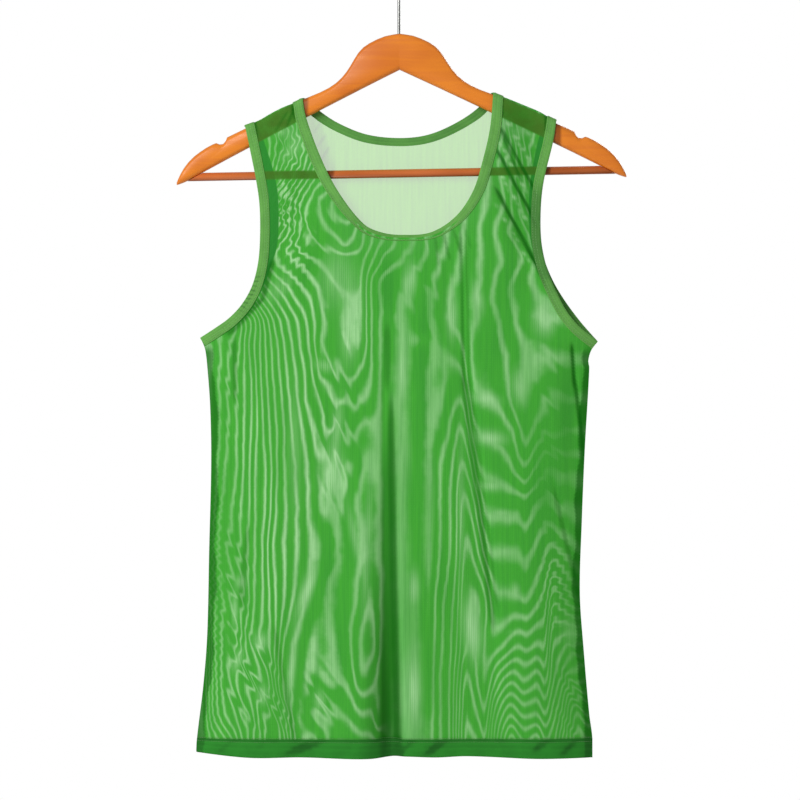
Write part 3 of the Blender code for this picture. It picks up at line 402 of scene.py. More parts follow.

# Pools of painted light where the ribs of both layers lie in step, and darker pools of painted shade.
# Lean is how far a pool runs sideways for each millimetre up
Pool = namedtuple("Pool", "x z reach_x reach_z lean glow")
POOLS = {
    FRONT: [
        Pool(-12, -340, 9, 40, 0, -0.7), Pool(25, -415, 7, 110, 0, -0.6), Pool(-92, -322, 8, 20, 0.4, -0.5),
        Pool(112, -330, 9, 40, 0, -0.5), Pool(98, -395, 9, 28, 0, -0.5), Pool(-70, -620, 9, 40, 0.1, -0.5),
        Pool(44, -630, 8, 60, 0, -0.4), Pool(140, -560, 22, 80, 0, -0.4), Pool(-60, -705, 12, 36, 0, -0.45),
        Pool(168, -460, 12, 60, 0, -0.5), Pool(-32, -600, 4, 60, 0.05, 0.5),
        Pool(-44, -590, 4, 26, -0.2, 0.6), Pool(6, -505, 6, 30, 0, 0.35), Pool(31, -560, 5, 60, 0, 0.3),
        Pool(-104, -500, 6, 60, 0, 0.3), Pool(-62, -480, 5, 24, 0.1, 0.6),
        Pool(-118, -340, 12, 12, 0.6, 0.35), Pool(-118, -180, 10, 10, -0.5, 0.5),
        Pool(-106, -200, 8, 12, 0.5, 0.4), Pool(104, -178, 4, 12, 0.3, 0.6),
        Pool(122, -182, 8, 8, 0.3, 0.4), Pool(-48, -376, 8, 30, 0.06, 1), Pool(-62, -330, 16, 26, 0, 0.47),
        Pool(-66, -528, 10, 22, 0, 1), Pool(-74, -418, 9, 6, -0.4, 0.54), Pool(11, -334, 8, 18, 0.1, 0.68),
        Pool(3, -424, 5, 34, 0, 0.81), Pool(18, -392, 12, 7, 0, 0.54), Pool(53, -368, 5, 20, 0, 0.81),
        Pool(79, -350, 5, 14, -0.2, 0.68), Pool(15, -640, 5, 16, 0, 0.74), Pool(15, -742, 6, 34, 0, 1),
        Pool(73, -682, 8, 26, -0.1, 1), Pool(62, -560, 3, 60, 0, 0.41), Pool(146, -372, 10, 14, 0, 0.94),
        Pool(120, -440, 7, 16, -0.1, 0.68), Pool(86, -451, 12, 6, -0.5, 0.81),
        Pool(91, -490, 14, 7, -0.4, 0.88), Pool(92, -538, 12, 5, -0.3, 0.68),
        Pool(102, -565, 15, 4, 0, 0.54), Pool(106, -603, 15, 4, 0, 0.47), Pool(116, -643, 5, 8, 0, 0.68),
        Pool(119, -669, 8, 3, 0, 0.47), Pool(119, -684, 8, 3, 0, 0.41), Pool(173, -684, 9, 13, 0, 0.34),
        Pool(-91, -640, 6, 24, 0.35, 1), Pool(-107, -720, 3.5, 30, 0.1, 0.81),
        Pool(-158, -634, 5, 6, 0, 0.68), Pool(-164, -662, 2.5, 14, 0, 0.81),
        Pool(-138, -693, 6, 8, 0, 0.81), Pool(-161, -712, 4, 10, 0.3, 0.68),
        Pool(-136, -746, 5, 9, 0, 0.61), Pool(-79, -752, 5, 9, 0, 0.61),
    ],
    BACK: [
        Pool(40, -380, 10, 34, 0.1, 0.68), Pool(-30, -520, 9, 30, -0.1, 0.68),
        Pool(96, -620, 8, 30, 0.2, 0.68), Pool(-104, -420, 8, 24, 0, 0.61),
        Pool(-60, -690, 7, 26, 0.1, 0.68),
    ],
}

# Rows of small glints between the right strap's creases, each from its top glint down along the creases
GlintRow = namedtuple("GlintRow", "x z glints glow")
GLINT_ROWS = [
    GlintRow(109, -176, 8, 1.1), GlintRow(101, -196, 10, 1.4), GlintRow(99, -222, 12, 1.3),
    GlintRow(98, -258, 9, 0.9), GlintRow(122, -172, 5, 0.9),
]
GLINT_ACROSS, GLINT_DOWN = 3.9, -6.8
GLINT_WIDTH, GLINT_HEIGHT, GLINT_LEAN = 2.1, 2.6, -0.57

# Distances between the ribs and the courses of the mesh and of the knit strips, in metres
MESH_PITCH = {"Rib Pitch": 0.0021, "Course Pitch": 0.0017}
STRIP_PITCH = {"Rib Pitch": 0.0025, "Course Pitch": 0.0011}
# Share of yarn in the front and back mesh where something lies behind
FRONT_COVERED, BACK_COVERED = 0.97, 0.92
# How far a sheet reaches into its hem, and a distance for places far from everything
SHEET_IN_HEM = 8.0
NOWHERE = -99.0
# Step along the bands' lines where distances are measured from them
LINE_STEP = 4.0

# Section of a band as share of its width, height from the cloth's middle
BAND_SECTION = [
    (0.00, -0.05), (0.01, 0.50), (0.06, 0.95), (0.16, 1.15), (0.30, 1.12), (0.45, 1.02), (0.60, 1.00),
    (0.74, 0.98), (0.84, 0.80), (0.90, 0.92), (0.97, 0.80), (1.00, 0.35),
    (1.00, -0.30), (0.90, -0.50), (0.60, -0.55), (0.30, -0.60), (0.08, -0.60), (0.01, -0.40),
]
# Its width on the cut, and how dark it is on each side, the back's side darker with painted shade
BAND_CUT = 10.0
BAND_SHADE = {FRONT: 0.25, BACK: 0.62}
# Top and bottom of the strap's painted shadow on the right armhole's front, and of the painted shade
# in the gathers on the left one's
STRAP_SHADOW = (-228.0, -365.0)
GATHERS = (-322.0, -368.0)
# Distances from one pucker to the next along the bands, and from one gather to the next
PUCKER_PITCH = 3.6
GATHER_PITCH = 4.6
# Section of a hem as share of its height from the lower fold, height from the cloth's middle
HEM_SECTION = [
    (0.00, 0.05), (0.01, 0.55), (0.05, 0.95), (0.14, 1.10), (0.30, 1.05), (0.50, 1.00), (0.70, 0.98),
    (0.84, 0.95), (0.89, 0.75), (0.94, 0.92), (0.98, 0.80), (1.00, 0.30),
    (1.00, -0.30), (0.80, -0.50), (0.40, -0.55), (0.08, -0.55), (0.01, -0.30),
]
# Its height on the cut, and how many sections there are along it
HEM_CUT = 18.0
HEM_RINGS = 260
# Section of a side seam's allowance as share of its width, depth from the hanger's plane
SEAM_SECTION = [(0.0, -0.75), (0.5, -0.28), (1.0, -0.28), (1.0, 0.28), (0.5, 0.28), (0.0, 0.75)]
SEAM_RINGS = 140
# Rows of stitches as share of the band's width or the hem's height, height from the cloth's middle
NECK_ROWS = [(0.82, 1.0), (0.2, 1.22)]
ARMHOLE_ROWS = [(0.84, 0.98), (0.55, 1.1)]
HEM_ROWS = [(0.84, 1.0), (1.05, 0.4)]
# Step along a row's line
ROW_STEP = 2.0

# X of the edges of the cloth that cast painted shadows on the arms and the bar beside them
ARM_SHADOWS = (-95.0, 158.0)
BAR_SHADOWS = (-69.0, 148.0)
# How near the hanger's middle plane a point of an arm's joint face lies
JOINT_REACH = 0.25
# Where the lights aim, in metres
LIT_PLACE = (0.0, 0.0, -0.45)


def smooth_value(rows, at):
    """Values on a smooth curve through (key, value) rows, level beyond both ends."""
    keys, values = (np.array(column, float) for column in zip(*rows))
    slopes = np.empty(len(keys))
    slopes[1:-1] = (values[2:] - values[:-2]) / (keys[2:] - keys[:-2])
    slopes[0] = (values[1] - values[0]) / (keys[1] - keys[0])
    slopes[-1] = (values[-1] - values[-2]) / (keys[-1] - keys[-2])
    held = np.clip(np.asarray(at, float), keys[0], keys[-1])
    i = np.clip(np.searchsorted(keys, held, side="right") - 1, 0, len(keys) - 2)
    span = keys[i + 1] - keys[i]
    t = (held - keys[i]) / span
    return ((2 * t**3 - 3 * t**2 + 1) * values[i] + (t**3 - 2 * t**2 + t) * span * slopes[i]
            + (3 * t**2 - 2 * t**3) * values[i + 1] + (t**3 - t**2) * span * slopes[i + 1])


def ease(t):
    """A smooth step from 0 to 1."""
    t = np.clip(t, 0.0, 1.0)
    return t * t * (3 - 2 * t)


def wood_height(rows, x):
    """Height of one of the arms' edges at an x, with the hanger rolled about the yoke's top."""
    outs, drops = (np.array(column, float) for column in zip(*rows))
    x = np.asarray(x, float)
    drop = np.interp(np.abs(x), outs, drops)
    for _ in range(3):
        out = np.abs(x - drop * math.sin(HANGER_ROLL))
        drop = np.interp(out, outs, drops)
    return YOKE_TOP - drop * math.cos(HANGER_ROLL) + np.copysign(out, x) * math.sin(HANGER_ROLL)


def bend_start(x):
    """Height at which the cloth leaves the upright and bends over the arm."""
    return wood_height(ARM_TOP, x) + CREST_RISE + smooth_value(CREST_WAVE, x) - CREST_BEND


def shoulder_height(x):
    """Flat height of the shoulder seam."""
    return bend_start(x) + CREST_BEND * math.pi / 2 + CREST_FLAT


def edge_distance(x, z):
    """Distance from the nearer side edge, measured from the armpit above it."""
    nearest = np.full(np.shape(x), np.inf)
    for hand in (LEFT, RIGHT):
        corner_x, corner_z = ARMPIT[hand]
        beside = (smooth_value(SIDE_EDGE[hand], z) - x) * hand
        apart = np.where(z < corner_z, beside, np.hypot(x - corner_x, z - corner_z))
        nearest = np.minimum(nearest, apart)
    return np.maximum(nearest, 0.0)


def fold_share(fold, x, z):
    """How much of a fold there is at a place, from 0 to 1, and how far down its length that is."""
    length = fold.top_z - fold.bottom_z
    ends = ease((fold.top_z + fold.fade / 2 - z) / fold.fade)
    if fold.bottom_z > HEM_TOP:
        ends = ends * ease((z - fold.bottom_z + fold.fade / 2) / fold.fade)
    down = np.clip((fold.top_z - z) / length, -fold.fade / length, 1.0 + fold.fade / length)
    middle = fold.top_x + down * (fold.bottom_x - fold.top_x)
    reach = np.where(x < middle, fold.reach_left, fold.reach_right)
    return ends * np.exp(-((x - middle) / reach)**2), down


def fold_height(x, z, side):
    """Sum of the folds' heights at places on one sheet."""
    total = np.zeros(np.shape(x))
    for fold in FOLDS[side]:
        share, down = fold_share(fold, x, z)
        total += share * (fold.top_height + ease(down) * (fold.bottom_height - fold.top_height))
    return total


def fold_shade(x, z, side):
    """Painted shade of the folds' lines, and of the seams inside showing through the cloth, from 0 to 1."""
    light = np.ones(np.shape(x))
    for fold in FOLDS[side]:
        if fold.bottom_shade:
            share, down = fold_share(fold, x, z)
            shade = fold.top_shade + np.clip(down, 0.0, 1.0) * (fold.bottom_shade - fold.top_shade)
            light *= 1 - ease((share - 0.1) / 0.75) * shade
    for hand in (LEFT, RIGHT):
        inside_edge = (smooth_value(SIDE_EDGE[hand], z) - x) * hand
        width = SEAM_SHOWS + 1.2 * np.sin(z / 13.0) + 0.6 * np.sin(z / 4.7)
        below = ease((ARMPIT[hand][1] - 4 - z) / 12)
        light *= 1 - SEAM_SHADE[hand] * ease((width - inside_edge) / 1.5) * below
    return 1 - light


def sheet_depth(x, z, side):
    """How far the cloth lies from the hanger's plane."""
    out = smooth_value(SHEET_DEPTH[side], z) + fold_height(x, z, side)
    taper = 1 - np.exp(-edge_distance(x, z) / SIDE_EASE)
    free = SIDE_DEPTH + (out - SIDE_DEPTH) * taper
    return SHOULDER_DEPTH + (free - SHOULDER_DEPTH) * ease((bend_start(x) - z) / STRAP_SETTLE)


def hang(x, z, side):
    """Places of flat points on the hanging garment, as rows of three."""
    x, z = np.asarray(x, float), np.asarray(z, float)
    start = bend_start(x)
    rise = np.maximum(z - start, 0.0)
    angle = np.minimum(rise / CREST_BEND, math.pi / 2)
    past = np.maximum(rise - CREST_BEND * math.pi / 2, 0.0)
    over = CREST_FLAT + CREST_BEND * np.cos(angle) - past
    depth = np.where(z > start, over, sheet_depth(x, np.minimum(z, start), side))
    height = np.where(z > start, start + CREST_BEND * np.sin(angle), z)
    return np.stack([x, side * depth, height], axis=-1)


def outward(x, z, side):
    """Outward directions of the hanging cloth at flat points."""
    step = 0.2
    across = hang(x + step, z, side) - hang(x - step, z, side)
    up = hang(x, z + step, side) - hang(x, z - step, side)
    normal = np.cross(across, up) * -side
    return normal / np.linalg.norm(normal, axis=-1, keepdims=True)


def slip_count(x, z):
    """Ribs of slip between the two sheets, smooth between the table's rows and places."""
    rows = [np.array(row.places, float).T for row in SLIP]
    blurs = (-SLIP_BLUR, 0.0, SLIP_BLUR)
    by_row = np.array([sum(np.interp(x + blur, *row) for blur in blurs) / len(blurs) for row in rows])
    place = np.interp(-z, [-row.z for row in SLIP], np.arange(len(SLIP)))
    i = np.clip(place.astype(int), 0, len(SLIP) - 2)
    t = place - i
    column = np.arange(len(x))
    before, first, last, after = (by_row[np.clip(i + k, 0, len(SLIP) - 1), column] for k in (-1, 0, 1, 2))
    bend = 2 * before - 5 * first + 4 * last - after + t * (3 * (first - last) + after - before)
    count = first + 0.5 * t * (last - before + t * bend)
    for ripple in RIPPLES:
        dx, dz = x - ripple.x, z - ripple.z
        share = np.exp(-(dx / ripple.reach_x)**2 - (dz / ripple.reach_z)**2)
        wander = RIPPLE_WANDER * np.sin(dz / RIPPLE_WANDER_DOWN + dx / RIPPLE_WANDER_ACROSS)
        turn = 2 * math.pi * (dx / ripple.wave_x + dz / ripple.wave_z) + wander
        count += ripple.ribs * share * np.sin(turn)
    return count


def glints():
    """The small glints between the right strap's creases, as pools."""
    found = []
    for row in GLINT_ROWS:
        for k in range(row.glints):
            x = row.x + GLINT_ACROSS * k + 0.8 * math.sin(1.7 * k)
            glow = row.glow * (0.6 + 0.4 * math.sin(2.3 * k + row.x))
            found.append(Pool(x, row.z + GLINT_DOWN * k, GLINT_WIDTH, GLINT_HEIGHT, GLINT_LEAN, glow))
    return found


def patch_share(patch, x, z, lean=0.0):
    """How much of a fade or pool there is at flat places, from 0 to 1."""
    aside = (x - patch.x - lean * (z - patch.z)) / patch.reach_x
    return np.exp(-aside**2 - ((z - patch.z) / patch.reach_z)**2)


def streak_show(x, z, side):
    """How strongly the painted streaks show, less where they crowd, and the pools' painted light and shade
    besides.
    """
    step = 0.5
    across = slip_count(x + step, z) - slip_count(x - step, z)
    up = slip_count(x, z + step) - slip_count(x, z - step)
    spacing = 2 * step / np.maximum(np.hypot(across, up), 1e-3)
    streak = np.full(len(x), STREAK_USUAL)
    for fade in FADES[side]:
        streak += fade.streak * patch_share(fade, x, z)
    glow = np.zeros(len(x))
    for pool in POOLS[side] + (glints() if side == FRONT else []):
        glow += pool.glow * patch_share(pool, x, z, pool.lean)
    return np.clip(streak, 0.05, 1.0) * np.clip(spacing / STREAK_SPACING, 0.12, 1.0), glow


def edge_line(points, step):
    """Flat places at even steps along a smooth curve through points, with the distance along it."""
    points = np.array(points, float)
    keys = np.concatenate([[0.0], np.cumsum(np.linalg.norm(np.diff(points, axis=0), axis=1))])
    marks = np.linspace(0.0, keys[-1], max(2, round(keys[-1] / step)) + 1)
    x = smooth_value(list(zip(keys, points[:, 0])), marks)
    z = smooth_value(list(zip(keys, points[:, 1])), marks)
    return np.stack([x, z], axis=1), marks


def crest_place(x):
    """The flat place on the shoulder seam at an x."""
    return (x, float(shoulder_height(x)))


def band_stations(points, widths, cloth_side, crest_at_start, crest_at_end, step):
    """Free places, ways across to the cloth, widths and distances along one band."""
    places, marks = edge_line(points, step)
    along = np.gradient(places, axis=0)
    along /= np.linalg.norm(along, axis=1, keepdims=True)
    across = np.stack([along[:, 1], -along[:, 0]], axis=1) * cloth_side
    length = marks[-1]
    crest_distance = np.full(len(marks), length)
    if crest_at_start:
        crest_distance = np.minimum(crest_distance, marks)
    if crest_at_end:
        crest_distance = np.minimum(crest_distance, length - marks)
    slope = (shoulder_height(places[:, 0] + 1) - shoulder_height(places[:, 0] - 1)) / 2
    shoulder = np.stack([np.ones(len(slope)), slope], axis=1)
    shoulder /= np.linalg.norm(shoulder, axis=1, keepdims=True)
    shoulder *= np.sign((shoulder * across).sum(axis=1))[:, None]
    turn = ease((CREST_TURN - crest_distance) / (CREST_TURN - CREST_HELD))[:, None]
    across = across + (shoulder - across) * turn
    across /= np.linalg.norm(across, axis=1, keepdims=True)
    return places, across, smooth_value(widths, marks / length), marks


def neck_stations(side, step):
    points = [crest_place(NECK_CREST[LEFT]), *NECK_EDGE[side], crest_place(NECK_CREST[RIGHT])]
    return band_stations(points, NECK_WIDTH[side], 1, True, True, step)


def armhole_stations(hand, side, step):
    points = [crest_place(ARMHOLE_CREST[hand]), *ARMHOLE_EDGE[hand, side], ARMPIT[hand]]
    return band_stations(points, ARMHOLE_WIDTH, hand, True, False, step)


# Shader helpers

def set_sockets(tree, node, inputs):
    """Sets a node's inputs to values, or links them from sockets."""
    for name, value in inputs.items():
        if isinstance(value, bpy.types.NodeSocket):
            tree.links.new(value, node.inputs[name])
        else:
            node.inputs[name].default_value = value


def add_node(tree, kind, inputs=None, **settings):
    """A node with its settings and its inputs."""
    node = tree.nodes.new(kind)
    for name, value in settings.items():
        setattr(node, name, value)
    set_sockets(tree, node, inputs or {})
    return node


def calculate(tree, operation, *values):
    """The result of one Math node."""
    return add_node(tree, "ShaderNodeMath", dict(enumerate(values)), operation=operation).outputs[0]


def blend_colours(tree, share, first, second, blend_type="MIX"):
    """The result of one colour Mix node."""
    inputs = {"Factor": share}
    for socket, colour in ((6, first), (7, second)):
        linked = isinstance(colour, bpy.types.NodeSocket)
        inputs[socket] = colour if linked else (*colour[:3], 1.0)
    return add_node(tree, "ShaderNodeMix", inputs, data_type="RGBA", blend_type=blend_type).outputs[2]


def read_range(tree, value, low, high, to_low=0.0, to_high=1.0):
    """A value carried smoothly from one range to another."""
    inputs = {"Value": value, "From Min": low, "From Max": high, "To Min": to_low, "To Max": to_high}
    return add_node(tree, "ShaderNodeMapRange", inputs, interpolation_type="SMOOTHSTEP").outputs["Result"]


def noise(tree, place, scale, detail, stretch=None, distortion=0.0):
    """Noise at a place, from 0 to 1, finer along the axes that a stretch enlarges."""
    if stretch:
        place = add_node(tree, "ShaderNodeMapping", {"Vector": place, "Scale": stretch}).outputs[0]
    inputs = {"Vector": place, "Scale": scale, "Detail": detail, "Distortion": distortion}
    return add_node(tree, "ShaderNodeTexNoise", inputs).outputs["Fac"]


def bump(tree, height, strength, distance):
    """The normal of a surface with a small relief."""
    inputs = {"Height": height, "Strength": strength, "Distance": distance}
    return add_node(tree, "ShaderNodeBump", inputs).outputs[0]


def object_places(tree):
    return add_node(tree, "ShaderNodeTexCoord").outputs["Object"]


def cut_coordinates(tree):
    return add_node(tree, "ShaderNodeUVMap", uv_map="cut").outputs["UV"]


def attribute(tree, name):
    return add_node(tree, "ShaderNodeAttribute", attribute_name=name).outputs["Fac"]


def new_group(name, inputs, outputs):
    """A shader group with a vector input wherever no number is given, its inputs and its results."""
    group = bpy.data.node_groups.new(name, "ShaderNodeTree")
    for label, value in inputs.items():
        kind = "NodeSocketVector" if value is None else "NodeSocketFloat"
        socket = group.interface.new_socket(label, in_out="INPUT", socket_type=kind)
        if value is not None:
            socket.default_value = value
    for label in outputs:
        group.interface.new_socket(label, in_out="OUTPUT", socket_type="NodeSocketFloat")
    given, result = group.nodes.new("NodeGroupInput"), group.nodes.new("NodeGroupOutput")
    return group, given.outputs, result


def use_group(tree, name, inputs):
    """The results of a shader group, which is built when it is first used."""
    if name not in bpy.data.node_groups:
        GROUPS[name]()
    node = tree.nodes.new("ShaderNodeGroup")
    node.node_tree = bpy.data.node_groups[name]
    set_sockets(tree, node, inputs)
    return node.outputs


def new_material(name, **values):
    """A material with its Principled shader's own values set."""
    material = bpy.data.materials.new(name)
    material.use_nodes = True
    shader = material.node_tree.nodes["Principled BSDF"]
    for label, value in values.items():
        shader.inputs[label.replace("_", " ")].default_value = value
    return material, material.node_tree, shader


def raised_wave(tree, turns):
    """A wave from 0 to 1 that is whole at whole turns."""
    swing = calculate(tree, "COSINE", calculate(tree, "MULTIPLY", turns, 2 * math.pi))
    return calculate(tree, "MULTIPLY_ADD", swing, 0.5, 0.5)


def build_knit_group():
    """Ribs and courses of a knit on flat cut coordinates, from 0 in a gap to 1 on a yarn."""
    inputs = {"Cut": None, "Rib Pitch": 0.002, "Course Pitch": 0.0016, "Wander": 0.3}
    group, given, result = new_group("Knit", inputs, ("Ribs", "Yarn"))
    parts = add_node(group, "ShaderNodeSeparateXYZ", {0: given["Cut"]}).outputs
    wander = calculate(group, "SUBTRACT", noise(group, given["Cut"], 60.0, 2.0), 0.5)
    shift = calculate(group, "MULTIPLY", wander, given["Wander"])
    waves = []
    for axis, pitch in (("X", "Rib Pitch"), ("Y", "Course Pitch")):
        turns = calculate(group, "DIVIDE", parts[axis], given[pitch])
        waves.append(raised_wave(group, calculate(group, "ADD", turns, shift)))
    set_sockets(group, result, {"Ribs": waves[0], "Yarn": calculate(group, "MAXIMUM", *waves)})


def build_streak_group():
    """Pale streaks of painted light where the ribs of two sheer layers fall in step, from 0 to 1."""
    inputs = {"Slip": 0.0, "Cut": None, "Sharpness": 3.0, "Patchiness": 0.45}
    group, given, result = new_group("Slip Streaks", inputs, ("Streak",))
    fine = calculate(group, "SUBTRACT", noise(group, given["Cut"], 45.0, 3.0), 0.5)
    turns = calculate(group, "ADD", given["Slip"], calculate(group, "MULTIPLY", fine, 0.35))
    shaped = calculate(group, "POWER", raised_wave(group, turns), given["Sharpness"])
    patch = read_range(group, noise(group, given["Cut"], 1.0, 2.0, stretch=(26.0, 9.0, 1.0)), 0.36, 0.64)
    keep = calculate(group, "SUBTRACT", 1.0, given["Patchiness"])
    strength = calculate(group, "MULTIPLY_ADD", patch, given["Patchiness"], keep)
    set_sockets(group, result, {"Streak": calculate(group, "MULTIPLY", shaped, strength)})


def build_grain_group():
    """Long wood grain on object coordinates, from 0 to 1, with broad tone beside it."""
    group, given, result = new_group("Wood Grain", {"Along": None}, ("Grain", "Tone"))
    grain = noise(group, given["Along"], 1.0, 5.0, stretch=(9.0, 60.0, 170.0), distortion=0.6)
    set_sockets(group, result, {"Grain": grain, "Tone": noise(group, given["Along"], 14.0, 2.0)})


GROUPS = {"Knit": build_knit_group, "Slip Streaks": build_streak_group, "Wood Grain": build_grain_group}


def mesh_material(name, colours, single, cover, covered):
    """Sheer knit mesh: painted light in streaks, painted shade where something lies behind and in creases.

    The single colour, painted as if lit from behind, is for a sheet that also shows alone. Cover is the
    share of yarn where light comes through, and covered the same where something lies behind.
    """
    material, tree, shader = new_material(name, Roughness=0.7, Specular_IOR_Level=0.02)
    work, blend = partial(calculate, tree), partial(blend_colours, tree)
    read, value = partial(read_range, tree), partial(attribute, tree)
    cut = cut_coordinates(tree)
    knit = use_group(tree, "Knit", {"Cut": cut, **MESH_PITCH})
    sharpness = read(value("streak"), 0.25, 0.75, 1.1, 3.2)
    slip = use_group(tree, "Slip Streaks", {"Slip": value("slip"), "Cut": cut, "Sharpness": sharpness})
    within = add_node(tree, "ShaderNodeNewGeometry").outputs["Backfacing"]
    outside = work("SUBTRACT", 1.0, within)
    # Masks of painted shade where the arms, the bar or a strip lie behind, on the outside only
    behind = work("MULTIPLY", outside, read(value("behind"), -1.3, 1.3))
    strip = work("MULTIPLY", outside, read(value("strip"), -0.7, 0.7))
    anything = work("MAXIMUM", behind, strip)

    # Painted light: pale streaks and pools where light comes through both layers, and darker pools of
    # painted shade
    lines = work("MULTIPLY", slip["Streak"], value("streak"))
    pools = work("MULTIPLY", value("glow"), work("MULTIPLY_ADD", knit["Ribs"], 0.5, 0.5))
    both = work("MULTIPLY_ADD", work("MINIMUM", lines, pools), 0.4, work("MAXIMUM", lines, pools))
    open_share = work("SUBTRACT", 1.0, anything)
    pale = work("MULTIPLY", both, work("MULTIPLY_ADD", open_share, 0.9, 0.1))
    if single:
        soft = read(value("lone"), -32.0, -3.0)
        sharp = read(value("lone"), -1.2, 0.8)
        lone = work("MULTIPLY_ADD", within, work("SUBTRACT", soft, sharp), sharp)
        pale = work("MULTIPLY", pale, work("SUBTRACT", 1.0, lone))
    dim = read(value("glow"), -1.0, 0.0, 0.55, 0.0)
    cloth = blend(pale, blend(dim, colours.mesh, colours.strip), colours.streak)
    # Painted backlight: the single colour where the sheet is seen from inside or shows alone
    if single:
        cloth = blend(work("MAXIMUM", within, work("MULTIPLY", lone, 0.6)), cloth, single)

    # Ribs and threads; what lies behind, seen through and painted as shade where it keeps the light from
    # coming through; and painted shade in the creases over it
    cloth = blend(work("MULTIPLY", knit["Ribs"], 0.07), cloth, (0, 0, 0), "MULTIPLY")
    threads = noise(tree, cut, 1.0, 3.0, stretch=(420.0, 16.0, 1.0))
    cloth = blend(read(threads, 0.3, 0.7, 0.0, 0.26), cloth, colours.strip)
    cloth = blend(work("MULTIPLY", strip, 0.85), cloth, colours.strip)
    uneven_backed_shade = read(noise(tree, cut, 70.0, 3.0), 0.35, 0.65, 0.76, 0.97)
    cloth = blend(work("MULTIPLY", behind, uneven_backed_shade), cloth, colours.backed)
    cloth = blend(value("crease"), cloth, colours.crease)

    # Painted glow, as emission, of light that comes through, and the gaps between the yarns
    if single:
        open_glow = work("MULTIPLY_ADD", anything, -0.45, 0.45)
        lit = work("MULTIPLY", work("MAXIMUM", within, lone), open_glow)
        set_sockets(tree, shader, {"Emission Strength": lit, "Emission Color": cloth})
        cloth = blend(lit, cloth, (0, 0, 0))
        cover = work("MULTIPLY_ADD", lone, cover - covered, covered)
    alpha = work("MULTIPLY_ADD", anything, work("SUBTRACT", covered, cover), cover)
    grazing = add_node(tree, "ShaderNodeLayerWeight", {"Blend": 0.5}).outputs["Facing"]
    hidden = work("MULTIPLY", work("SUBTRACT", 1.0, alpha), work("POWER", grazing, 1.6))
    set_sockets(tree, shader, {
        "Base Color": cloth, "Alpha": work("ADD", alpha, hidden),
        "Normal": bump(tree, knit["Yarn"], 0.25, 0.0003)})
    return material


def strip_material(name, light, dark, pitch):
    """Dense knit strip, as the bands and the hems, darker by its 'shade' attribute, mostly painted shade."""
    material, tree, shader = new_material(name, Roughness=0.75, Specular_IOR_Level=0.08)
    cut = cut_coordinates(tree)
    ribs = use_group(tree, "Knit", {"Cut": cut, **pitch})["Ribs"]
    tone = read_range(tree, noise(tree, cut, 55.0, 3.0), 0.35, 0.65)
    shade = calculate(tree, "MULTIPLY_ADD", tone, 0.22, attribute(tree, "shade"))
    shade = calculate(tree, "MULTIPLY_ADD", ribs, -0.2, shade)
    set_sockets(tree, shader, {
        "Base Color": blend_colours(tree, shade, light, dark), "Normal": bump(tree, ribs, 0.35, 0.0003)})
    return material


def wood_material(name, light, dark, shadows, round_bar=False):
    """Varnished wood with long grain, painted shadows beside the cloth, and painted shade under a round bar.
    """
    material, tree, shader = new_material(
        name, Roughness=0.45, Coat_Weight=0.05, Coat_Roughness=0.3, Specular_IOR_Level=0.3)
    work, read = partial(calculate, tree), partial(read_range, tree)
    place = object_places(tree)
    grain = use_group(tree, "Wood Grain", {"Along": place})
    lines = read(grain["Grain"], 0.38, 0.66)
    share = work("MULTIPLY_ADD", lines, 0.3, work("MULTIPLY", read(grain["Tone"], 0.35, 0.7), 0.5))
    parts = add_node(tree, "ShaderNodeSeparateXYZ", {0: place}).outputs
    across = parts["X"]
    # Painted shadows of the cloth's edges on the wood beside them
    near = 0.0
    for edge in shadows:
        away = work("ABSOLUTE", work("SUBTRACT", across, edge * MM))
        near = work("MAXIMUM", near, read(away, 0.002, 0.006, 0.85, 0.0))
    # Painted shade on the bar's underside, and the bar darker towards its right end
    if round_bar:
        middle = work("MULTIPLY_ADD", across, math.tan(HANGER_ROLL), (YOKE_TOP - BAR_DROP) * MM)
        above = work("SUBTRACT", parts["Z"], middle)
        under = read(above, -0.9 * BAR_RADIUS * MM, 0.3 * BAR_RADIUS * MM, 0.6, 0.0)
        near = work("MAXIMUM", work("MAXIMUM", near, under), read(across, 0.08, 0.16, 0.0, 0.25))
    wood = blend_colours(tree, share, light, dark)
    set_sockets(tree, shader, {
        "Base Color": blend_colours(tree, near, wood, tuple(0.4 * c for c in dark)),
        "Roughness": work("MULTIPLY_ADD", lines, 0.12, 0.32),
        "Normal": bump(tree, grain["Grain"], 0.12, 0.0004)})
    return material


def steel_material(colour):
    """Plated wire, a little brushed round its length."""
    material, tree, shader = new_material("Plated wire", Metallic=1.0)
    marks = noise(tree, object_places(tree), 1.0, 3.0, stretch=(300.0, 300.0, 20.0))
    set_sockets(tree, shader, {
        "Roughness": read_range(tree, marks, 0.3, 0.7, 0.22, 0.4),
        "Base Color": blend_colours(tree, marks, colour, tuple(0.85 * c for c in colour))})
    return material


def thread_material(name, colour):
    """Twisted sewing thread."""
    material, tree, shader = new_material(name, Roughness=0.55, Sheen_Weight=0.2)
    twist = noise(tree, object_places(tree), 900.0, 1.0)
    darker = tuple(0.6 * c for c in colour)
    set_sockets(tree, shader, {"Base Color": blend_colours(tree, twist, colour, darker)})
    return material


# Mesh helpers

def link_object(name, data):
    """An object of the scene that holds some data."""
    piece = bpy.data.objects.new(name, data)
    bpy.context.scene.collection.objects.link(piece)
    return piece


def place_piece(piece, node=None):
    """Fixes a piece to the garment's body and instead of the solid that it stands for."""
    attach(piece, "root")
    if node:
        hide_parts(node)


